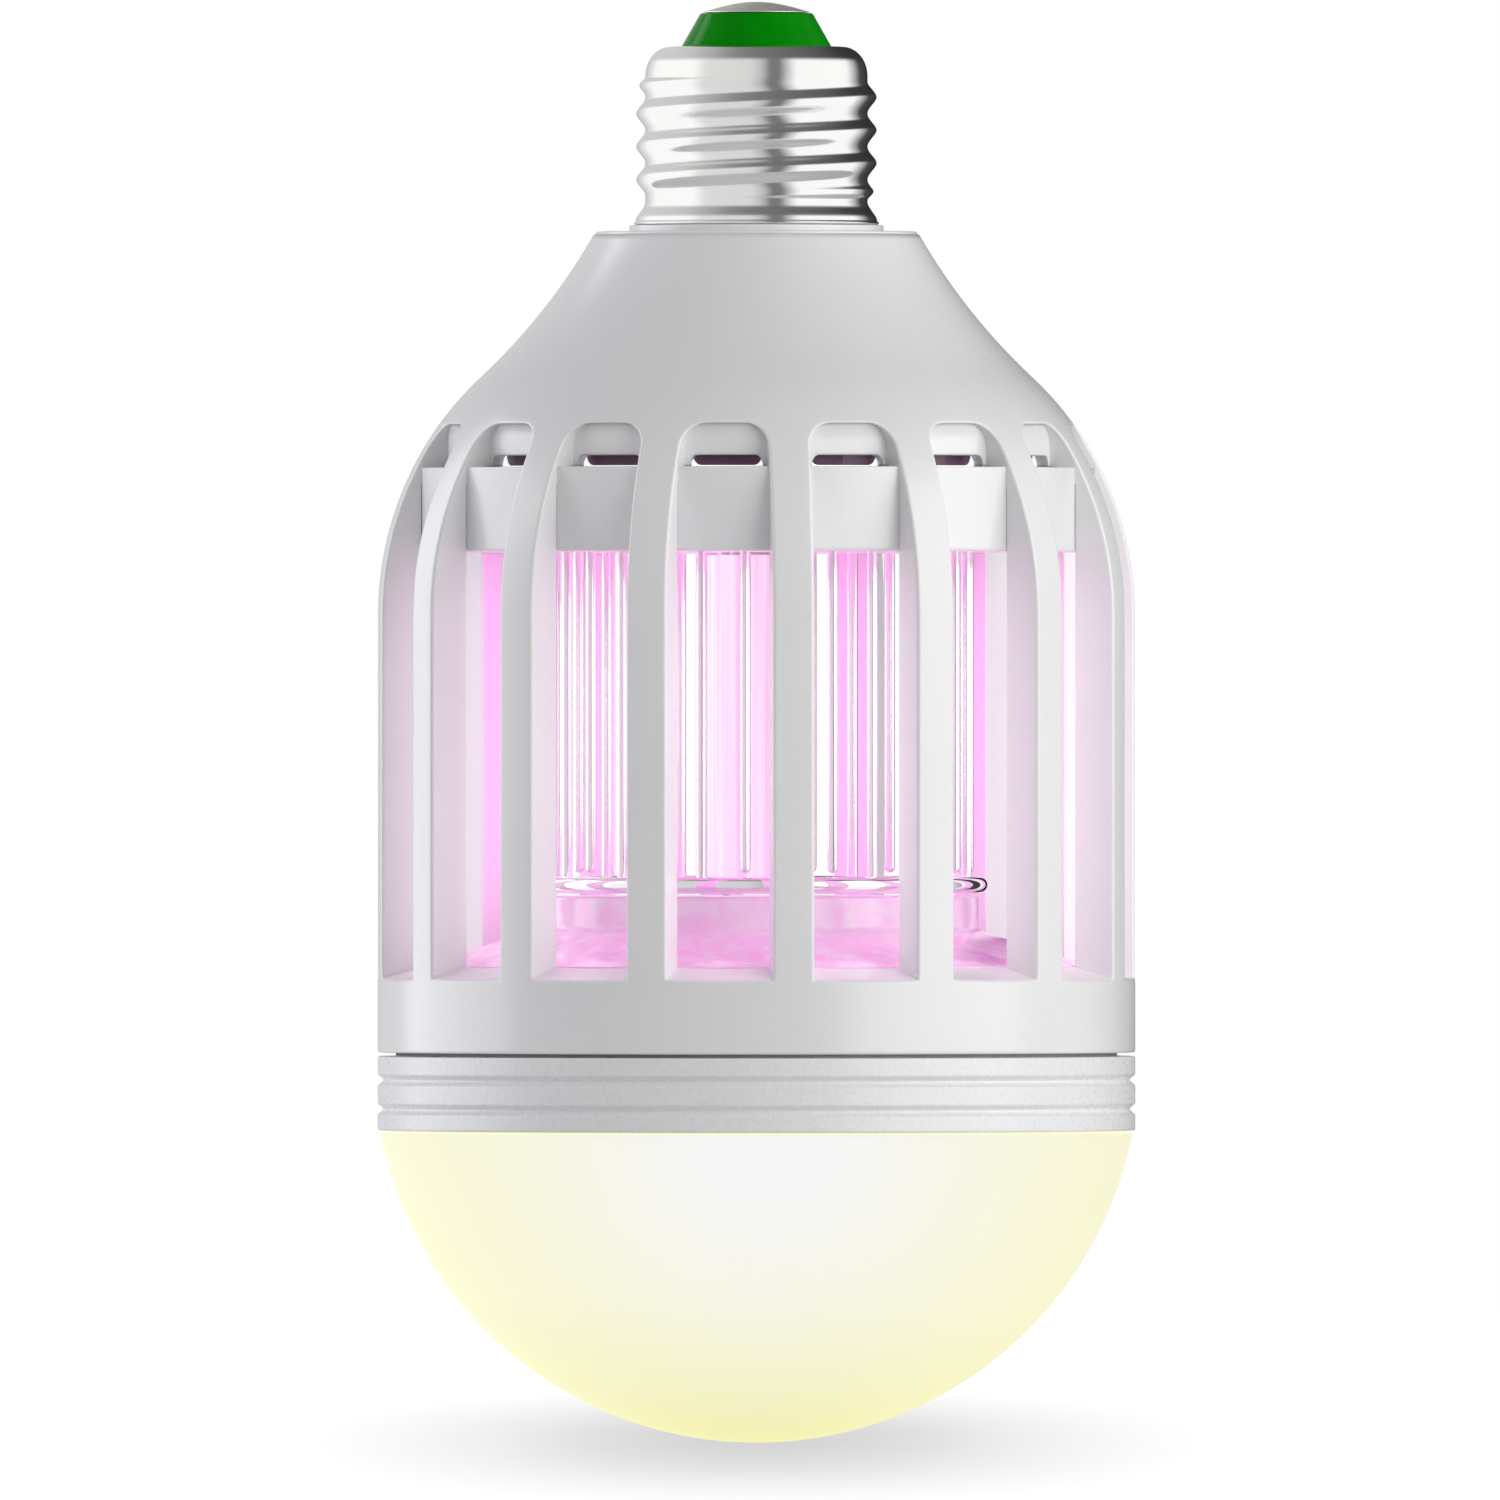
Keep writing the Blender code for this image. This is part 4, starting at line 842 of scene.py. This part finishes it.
def rod_shells(grid, first, low, high):
    """Every second upright rod, live ones from 0 and neutral ones from 1, with round tips.

    A tip is a quarter circle of radius against height, and the rods stand at even turns.
    """
    quarter, r = np.linspace(0, math.pi / 2, 5), grid.rod
    top = np.stack([r * np.sin(quarter), high - r * (1 - np.cos(quarter))], -1)
    bottom = np.stack([r * np.sin(quarter), low + r * (1 - np.cos(quarter))], -1)[::-1]
    points, quads = lathe(np.concatenate([top, bottom]), 20, closed=False)
    turns = grid.turn - math.pi / 2 + TAU / grid.rods * np.arange(first, grid.rods, 2)
    places = around(grid.circle, turns, 0 * turns)[:, None]
    return (points[None] + places).reshape(-1, 3), repeated(quads, len(points), len(turns))


def torus_shell(circle, level, tube, steps=240, sides=20):
    """A ring of round section: the profile is a circle beside the axis."""
    a = -full_turn(sides)
    return lathe(np.stack([circle + tube * np.cos(a), level + tube * np.sin(a)], -1), steps)


def column_shells():
    """The column's turned tube."""
    low, high, radius, bore = COLUMN_LOW[2], COLUMN_HIGH[2], COLUMN_HIGH[0], 4.4 * MM
    profile = rounded([(radius, high, SOFT), (radius, low, SOFT), (bore, low, SOFT),
                       (bore, high, SOFT)])
    return [lathe(profile, 96)]


def collar_shells(light):
    """The collar: a turned wall with two round grooves, each half a cosine wave deep."""
    low, high, edge = COLLAR_LOW[2], -90.5 * MM, 0.25 * MM
    z = np.linspace(high - 0.6 * MM, low + 0.6 * MM, 110)
    dip = 0 * z
    for middle in (-light.groove_one, -light.groove_two):
        inside = np.abs(z - middle) < light.groove_half
        dip += np.where(inside, 0.5 + 0.5 * np.cos(np.pi * (z - middle) / light.groove_half), 0.0)
    wall = np.stack([BODY_R - light.groove * dip, z], -1)
    # The seat under the housing, the spigot up into it, and the floor that carries the lights.
    seat, spigot, spigot_top, inner = 39.6 * MM, 37.6 * MM, COLLAR_HIGH[2], 39.7 * MM
    floor_low, floor_top = -95.2 * MM, -93.2 * MM
    start = rounded([(seat, high, 0.0), (BODY_R, high, edge), (BODY_R, z[0], 0.0)])[:-1]
    end = rounded([(BODY_R, z[-1], 0.0), (BODY_R, low, edge), (inner, low, FINE),
                   (inner, floor_low, 0.0), (WIRE_BORE, floor_low, 0.1 * MM),
                   (WIRE_BORE, floor_top, 0.1 * MM), (spigot, floor_top, 0.0),
                   (spigot, spigot_top, SOFT), (seat, spigot_top, SOFT),
                   (seat, high, 0.0)])[1:-1]
    return [lathe(np.concatenate([start, wall, end]), 256)]


def dome_shells(light):
    """The dome: a sphere's cap outside, one wall less inside, and a spigot up into the collar."""
    centre, inner = (0.0, -light.dome_centre), light.dome - light.dome_wall
    spigot, seat, seam, top = 37.9 * MM, 39.4 * MM, 0.12 * MM, DOME_HIGH[2]
    rim = math.degrees(math.asin((light.dome_centre - light.dome_rim) / light.dome))
    inner_end = -math.degrees(math.acos(spigot / inner))
    outside = arc_points(centre, light.dome, rim, -90, 56)
    inside = arc_points(centre, inner, -90, inner_end, 24)
    neck = rounded([(spigot, inside[-1][1], 0.0), (spigot, top, SOFT), (seat, top, SOFT),
                    (seat, -light.dome_rim, 0.0), (*outside[0], 0.0)])[1:-1]
    lip = outside[0] - (seam, 0.0)
    outside[0] -= (0.0, seam)
    inside[0][0] = outside[-1][0] = 0.0
    return [lathe(np.concatenate([inside, neck, [lip], outside]), 256, closed=False)]


class LampHousing(bpy.types.Operator):
    """Build the white mouldings: housing, skirt, board carrier, grid holder and base"""
    bl_idname = "lamp.housing"
    bl_label = "White mouldings"

    def execute(self, context):
        cage, grid = context.scene.lamp_cage, context.scene.lamp_grid
        plain = plain_moulding("moulded_abs_half_gloss", cage.moulding)
        polished = painted_glow_moulding("moulded_abs_polished", cage.moulding, grid.base_painted_glow,
                                grid.base_painted_reflection, grid.base_painted_streak)
        nylon = painted_glow_nylon("moulded_nylon_natural", cage.moulding)
        for name, shells, material, replaced in (
                ("housing_moulding", housing_shells(cage), plain, ["cage_housing"]),
                ("housing_skirt", skirt_shells(cage), plain, ()),
                ("board_carrier", carrier_shells(cage), nylon, ()),
                ("holder_cup", holder_shells(cage), plain, ["grid_top_holder"]),
                ("base_moulding", base_shells(cage, grid), polished, ["grid_base"])):
            make_piece(name, shells, material, replaced)
        return {"FINISHED"}


class LampCap(bpy.types.Operator):
    """Build the screw cap: threaded shell, insulator and centre contact"""
    bl_idname = "lamp.cap"
    bl_label = "Screw cap"

    def execute(self, context):
        cap = context.scene.lamp_cap
        nickel = plated_metal("nickel_plated_brass", cap.nickel, 0.11, 0.16, (1.0, 1.0, 6.0))
        glass = green_glass("pressed_green_glass", cap.insulator)
        tin = plated_metal("tin_plated_contact", cap.tin, 0.42, 0.55, (1.0, 1.0, 1.0), 0.7 * MM)
        make_piece("thread_shell", shell_shells(cap), nickel, ["screw_shell"])
        make_piece("insulator_cone", insulator_shells(), glass,
                   ["cap_insulator"])
        make_piece("contact_dome", contact_shells(cap), tin, ["centre_contact"])
        return {"FINISHED"}


class LampGrid(bpy.types.Operator):
    """Build the two electrode cages and the lit column"""
    bl_idname = "lamp.grid"
    bl_label = "Grid and column"

    def execute(self, context):
        grid = context.scene.lamp_grid
        steel = plated_metal("drawn_steel_wire", grid.steel, 0.14, 0.2, (1.0, 1.0, 0.01))
        chrome = plated_metal("chromed_steel_ring", grid.chrome, 0.03, 0.07, (1.0, 1.0, 1.0))
        acrylic = lit_column("extruded_acrylic_lit", grid.glow, grid.glow_pale)
        bus_tube = 1.0 * MM
        bus, ring = LIVE_HIGH[2] - bus_tube, NEUTRAL_LOW[2] + grid.ring
        live = [rod_shells(grid, 0, LIVE_LOW[2], bus),
                torus_shell(grid.circle, bus, bus_tube, 160, 12)]
        make_piece("live_rods", live, steel, ["grid_live"])
        make_piece("neutral_rods", [rod_shells(grid, 1, ring, -grid.neutral_top)], steel)
        make_piece("lower_ring", [torus_shell(grid.ring_circle, ring, grid.ring)], chrome,
                   ["grid_neutral"])
        make_piece("column_tube", column_shells(), acrylic, ["uv_tube"])
        return {"FINISHED"}


class LampLight(bpy.types.Operator):
    """Build the collar and the opal dome"""
    bl_idname = "lamp.light"
    bl_label = "Collar and dome"

    def execute(self, context):
        light = context.scene.lamp_light
        coat = powder_coat("powder_coated_aluminium", light.collar)
        stops = ((0.0, shade(light.dome_crown)), (0.14, shade(light.dome_low)),
                 (0.42, shade(light.dome_middle)), (1.0, shade(light.dome_high)))
        opal = opal_dome("opal_polycarbonate_lit", light.dome_body, stops)
        make_piece("collar_ring", collar_shells(light), coat, ["light_collar"])
        make_piece("dome_shell", dome_shells(light), opal, ["diffuser_dome"])
        return {"FINISHED"}


class LampInside(bpy.types.Operator):
    """Finish the inner parts that keep their own solids"""
    bl_idname = "lamp.inside"
    bl_label = "Inner parts"

    def execute(self, context):
        for start, (name, shown, *rest) in INNER_FINISHES.items():
            material = plain_part(name, linear(shown), *rest)
            for node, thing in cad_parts.items():
                if node.startswith(start):
                    for slot in thing.material_slots:
                        slot.material = material
        return {"FINISHED"}


class LampStage(bpy.types.Operator):
    """Set the camera, the floor, the lamps and the background"""
    bl_idname = "lamp.stage"
    bl_label = "Stage"

    def execute(self, context):
        scene, stage = context.scene, context.scene.lamp_stage
        make_camera(scene, stage)
        floor = make_floor(stage.azimuth)
        make_world(scene, stage.daylight, stage.ceiling)
        make_cards(stage.azimuth)
        meshes = {thing.name: thing for thing in scene.objects if thing.type == "MESH"}
        dome = meshes["dome_shell"]
        body = [thing for name, thing in meshes.items()
                if name not in ("thread_shell", "dome_shell", "floor")]
        # The screw shell shows the studio cards, and the dome its own light and the cool lamp.
        light_only(room_lamp("key_lamp", stage.azimuth + math.radians(56), 1.1, 0.26, (1.4, 1.1),
                             stage.key, (1.0, 0.99, 0.975)), body)
        light_only(room_lamp("fill_lamp", stage.azimuth - math.radians(106), 1.1, 0.12,
                             (1.1, 1.2), stage.fill, (0.97, 0.965, 1.0)), body)
        cool = room_lamp("cool_front_lamp", stage.azimuth + math.radians(2), 98 * MM, -116 * MM,
                         (15 * MM, 15 * MM), stage.cool, (0.02, 0.06, 1.0))
        cool.visible_glossy = False
        cool.data.cycles.max_bounces = 0
        light_only(cool, [dome])
        light_only(room_lamp("top_lamp", 0.0, 0.0, 1.5, (3.0, 3.0), stage.top, (1.0, 1.0, 1.0)),
                   [floor])
        light_only(dome, [thing for thing in meshes.values() if thing is not floor])
        low, high = COLUMN_LOW[2] + 2 * MM, COLUMN_HIGH[2] - 2 * MM
        inner_lamps("column_lamp", 4, 0.5, COLUMN_HIGH[0] + 0.3 * MM, 6.5 * MM, low, high,
                    stage.inner, (1.0, 0.04, 0.7))
        inner_lamps("slot_lamp", scene.lamp_cage.ribs, 0.0, 34.5 * MM, 3 * MM, SLOT_LIGHT_LOW,
                    high, stage.slot, (1.0, 0.9, 0.95))
        return {"FINISHED"}


def make_camera(scene, stage):
    """A level long-lens camera, so the lamp shows almost without perspective."""
    data = bpy.data.cameras.new("camera")
    data.lens = stage.lens
    data.sensor_width = 36.0
    distance = stage.width * data.lens / data.sensor_width
    data.clip_start, data.clip_end = distance * 0.1, distance * 4
    camera = show("camera", data)
    a = stage.azimuth
    right = np.array([math.cos(a), math.sin(a), 0.0])
    back = np.array([math.sin(a), -math.cos(a), 0.0])
    middle = np.array([0.0, 0.0, -stage.height]) - right * stage.aside
    camera.location = middle + back * distance
    camera.rotation_euler = (math.pi / 2, 0.0, a)
    scene.camera = camera


# What brings the floor up to white where it is seen, beside the room light on it.
FLOOR_LIGHT = 0.62
# The floor's half width, its gap below the dome's crown, and how far and over what distance it
# rises behind the lamp.
FLOOR_HALF, FLOOR_GAP, FLOOR_RISE, FLOOR_RUN = 0.7, 0.5 * MM, 7 * MM, 48 * MM
WHITE = (1.0, 1.0, 1.0)


def make_floor(azimuth):
    """A plain white floor that rises a little behind the lamp, so the level camera sees it.

    Its height is the lamp's lowest point plus a gentle step, the rise times tanh(distance over
    run), along the camera's line. Seen straight it is lit up to white, and it keeps the lamp's
    shadow. Its underside is clear, so that a camera below it sees the lamp. A level camera
    behind the lamp loses the dome's lowest 5 mm behind the rise.
    """
    side = np.linspace(-FLOOR_HALF, FLOOR_HALF, 141)
    x, y = np.meshgrid(side, side, indexing="ij")
    away = y * math.cos(azimuth) - x * math.sin(azimuth)
    height = DOME_LOW[2] - FLOOR_GAP + FLOOR_RISE * np.tanh(away / FLOOR_RUN)
    points = np.stack([x, y, height], -1).reshape(-1, 3)
    mesh = bpy.data.meshes.new("floor")
    mesh.from_pydata(points, [], grid_quads(len(side), len(side))[:, ::-1].tolist())
    mesh.shade_smooth()
    floor = show("floor", mesh)
    floor.visible_glossy = False
    # Matt paper from a roll: even and white with a faint fibre grain and no gloss.
    material, tree, shader, place = start_material(
        "matt_white_paper", {"Roughness": 0.9, "Specular IOR Level": 0.0,
                             "Emission Color": shade(WHITE)})
    grain = add(tree, "TexNoise", {"Vector": place, "Scale": 1 / (2 * MM)})
    under = add(tree, "NewGeometry", out="Backfacing")
    above = add(tree, "Math", {0: 1.0, 1: under}, operation="SUBTRACT")
    tint = add(tree, "Mix", {0: grain, 6: shade(WHITE, 0.93), 7: shade(WHITE, 0.97)},
               data_type="RGBA")
    seen = add(tree, "Math", {0: seen_directly(tree), 1: FLOOR_LIGHT}, operation="MULTIPLY")
    feed(tree, shader, {"Base Color": tint, "Emission Strength": seen, "Alpha": above})
    mesh.materials.append(material)
    return floor


def seen_directly(tree):
    """1 for what the camera, a reflection or a clear part shows, and 0 for what only lights."""
    shown = path = add(tree, "LightPath", out="Is Camera Ray")
    for ray in ("Is Glossy Ray", "Is Transmission Ray"):
        shown = add(tree, "Math", {0: shown, 1: path.node.outputs[ray]}, operation="MAXIMUM")
    return shown


def make_world(scene, strength, ceiling):
    """Room light under a darker ceiling, and a white background seen straight or in gloss."""
    world = bpy.data.worlds.new("studio")
    world.use_nodes = True
    tree = world.node_tree
    place = add(tree, "TexCoord", out="Generated")
    rise = add(tree, "SeparateXYZ", {0: place}, out="Z")
    room = add(tree, "Mix",
               {0: rise, 6: shade(WHITE, strength), 7: shade(WHITE, strength * ceiling)},
               data_type="RGBA")
    shown = add(tree, "Mix", {0: seen_directly(tree), 6: room, 7: shade(WHITE)}, data_type="RGBA")
    tree.links.new(shown, tree.nodes["Background"].inputs["Color"])
    scene.world = world


# The studio's white and grey cards as gloss shows them. A place from 0 to 1 is the turn of the
# surface that mirrors the card to the camera, from full left over straight on to full right.
CARDS = ((0.0, 0.3), (0.04, 0.55), (0.09, 0.7), (0.145, 1.0), (0.31, 1.0), (0.35, 0.74),
         (0.486, 0.7), (0.517, 0.5), (0.54, 0.18), (0.567, 0.18), (0.592, 0.6), (0.617, 1.0),
         (0.8, 1.0), (0.84, 0.45), (0.875, 0.06), (1.0, 0.01))
# The dark ceiling, which mirrors to the camera where a surface faces up.
CEILING = ((0.0, 0.6), (0.15, 0.63), (0.27, 0.58), (0.356, 0.42), (0.43, 0.25), (0.5, 0.18),
           (0.69, 0.1), (0.79, 0.04), (1.0, 0.02))
# Between these sines of a surface's tilt the cards give way to the ceiling.
CEILING_START, CEILING_END = 0.42, 0.56
CARD_REACH = 2.0


def make_cards(azimuth):
    """A round of studio cards with a dark ceiling, which only reflections show.

    A sphere: each ring of points has the radius reach cos rise and the height reach sin rise.
    A point of it mirrors to the camera in a surface whose turn is arctan(side / (front + reach))
    and whose tilt has the sine height / sqrt(2 reach (front + reach)).
    """
    rise = np.radians(np.linspace(-90.0, 90.0, 49))
    profile = np.stack([CARD_REACH * np.cos(rise), CARD_REACH * np.sin(rise)], -1)
    profile[0, 0] = profile[-1, 0] = 0.0
    points, quads = lathe(profile, 96, closed=False)
    mesh = bpy.data.meshes.new("studio_cards")
    mesh.from_pydata(points, [], quads.tolist())
    mesh.shade_smooth()
    cards = show("studio_cards", mesh)
    cards.visible_camera = cards.visible_diffuse = cards.visible_shadow = False
    cards.visible_transmission = False
    # White, grey and black card in soft steps: metal mirrors it as broad bright and dark bands.
    material = bpy.data.materials.new("studio_card_paper")
    material.use_nodes = True
    tree = material.node_tree
    tree.nodes.remove(tree.nodes["Principled BSDF"])
    place = add(tree, "TexCoord", out="Object")
    turned_place = add(tree, "VectorRotate", {"Vector": place, "Angle": math.pi / 2 - azimuth},
                       rotation_type="Z_AXIS")
    x, y, z = add(tree, "SeparateXYZ", {0: turned_place}).node.outputs
    front = add(tree, "Math", {0: x, 1: CARD_REACH})
    turn = add(tree, "Math", {0: y, 1: front}, operation="ARCTAN2")
    share = add(tree, "MapRange", {0: turn, 1: -math.pi / 2, 2: math.pi / 2})
    cards_seen, ceiling_seen = (
        add(tree, "ValToRGB", {0: share}, [(at, shade((grey, grey, grey))) for at, grey in greys])
        for greys in (CARDS, CEILING))
    square = add(tree, "Math", {0: front, 1: 2 * CARD_REACH}, operation="MULTIPLY")
    root = add(tree, "Math", {0: square, 1: 0.5}, operation="POWER")
    lift = add(tree, "Math", {0: z, 1: root}, operation="DIVIDE")
    above = add(tree, "MapRange", {0: lift, 1: CEILING_START, 2: CEILING_END},
                interpolation_type="SMOOTHSTEP")
    paper = add(tree, "Mix", {0: above, 6: cards_seen, 7: ceiling_seen}, data_type="RGBA")
    lit = add(tree, "Emission", {"Color": paper})
    tree.links.new(lit, tree.nodes["Material Output"].inputs["Surface"])
    mesh.materials.append(material)


# The height that the room's lamps face, and where the light inside the slots starts.
CAGE_MIDDLE = -60 * MM
SLOT_LIGHT_LOW = -79.2 * MM


def make_lamp(name, place, faces, side, power, tint):
    """A rectangular lamp that the camera doesn't see."""
    data = bpy.data.lights.new(name, "AREA")
    data.shape = "RECTANGLE"
    data.size, data.size_y = side
    data.energy, data.color = power, tint
    lamp = show(name, data)
    lamp.location, lamp.rotation_euler = place, faces
    lamp.visible_camera = False
    return lamp


def room_lamp(name, turn, reach, rise, side, power, tint):
    """A soft lamp at a turn, reach and height from the neck's top that faces the cage."""
    place = (reach * math.sin(turn), -reach * math.cos(turn), rise)
    return make_lamp(name, place, (math.atan2(reach, rise - CAGE_MIDDLE), 0.0, turn), side, power,
                     tint)


def inner_lamps(name, lamps, first, reach, width, low, high, power, tint):
    """Upright strips of light at even turns round the axis that face outward."""
    for i in range(lamps):
        a = TAU * (i + first) / lamps
        lamp = make_lamp("%s_%d" % (name, i + 1),
                         (reach * math.cos(a), reach * math.sin(a), (low + high) / 2),
                         (math.pi / 2, 0.0, a - math.pi / 2), (width, high - low), power, tint)
        lamp.visible_glossy = False


def light_only(source, things):
    """Let a lamp or a lit piece light only these things."""
    lit = bpy.data.collections.new(source.name + "_light")
    for thing in things:
        lit.objects.link(thing)
    source.light_linking.receiver_collection = lit


SETTINGS = {
    "lamp_cage": LampCageSettings, "lamp_cap": LampCapSettings, "lamp_grid": LampGridSettings,
    "lamp_light": LampLightSettings, "lamp_stage": LampStageSettings,
}
OPERATORS = (LampHousing, LampCap, LampGrid, LampLight, LampInside, LampStage)


class LampPanel(bpy.types.Panel):
    """The lamp's sizes and colours, and one button for each group of pieces"""
    bl_idname = "VIEW3D_PT_lamp"
    bl_label = "Insect killer lamp"
    bl_space_type = "VIEW_3D"
    bl_region_type = "UI"
    bl_category = "Lamp"

    def draw(self, context):
        for operator in OPERATORS:
            self.layout.operator(operator.bl_idname)
        for name, group in SETTINGS.items():
            box = self.layout.box()
            for key in group.__annotations__:
                box.prop(getattr(context.scene, name), key)


def register():
    """Make the settings, operators and panel known to Blender."""
    for name, group in SETTINGS.items():
        bpy.utils.register_class(group)
        setattr(bpy.types.Scene, name, bpy.props.PointerProperty(type=group))
    for operator in OPERATORS:
        bpy.utils.register_class(operator)
    bpy.utils.register_class(LampPanel)


def unregister():
    """Take them away again."""
    bpy.utils.unregister_class(LampPanel)
    for operator in reversed(OPERATORS):
        bpy.utils.unregister_class(operator)
    for name, group in SETTINGS.items():
        delattr(bpy.types.Scene, name)
        bpy.utils.unregister_class(group)


def main():
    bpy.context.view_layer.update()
    register()
    bpy.context.scene.view_settings.view_transform = "Standard"
    bpy.ops.lamp.housing()
    bpy.ops.lamp.cap()
    bpy.ops.lamp.grid()
    bpy.ops.lamp.light()
    bpy.ops.lamp.inside()
    bpy.ops.lamp.stage()


if __name__ == "__main__":
    main()
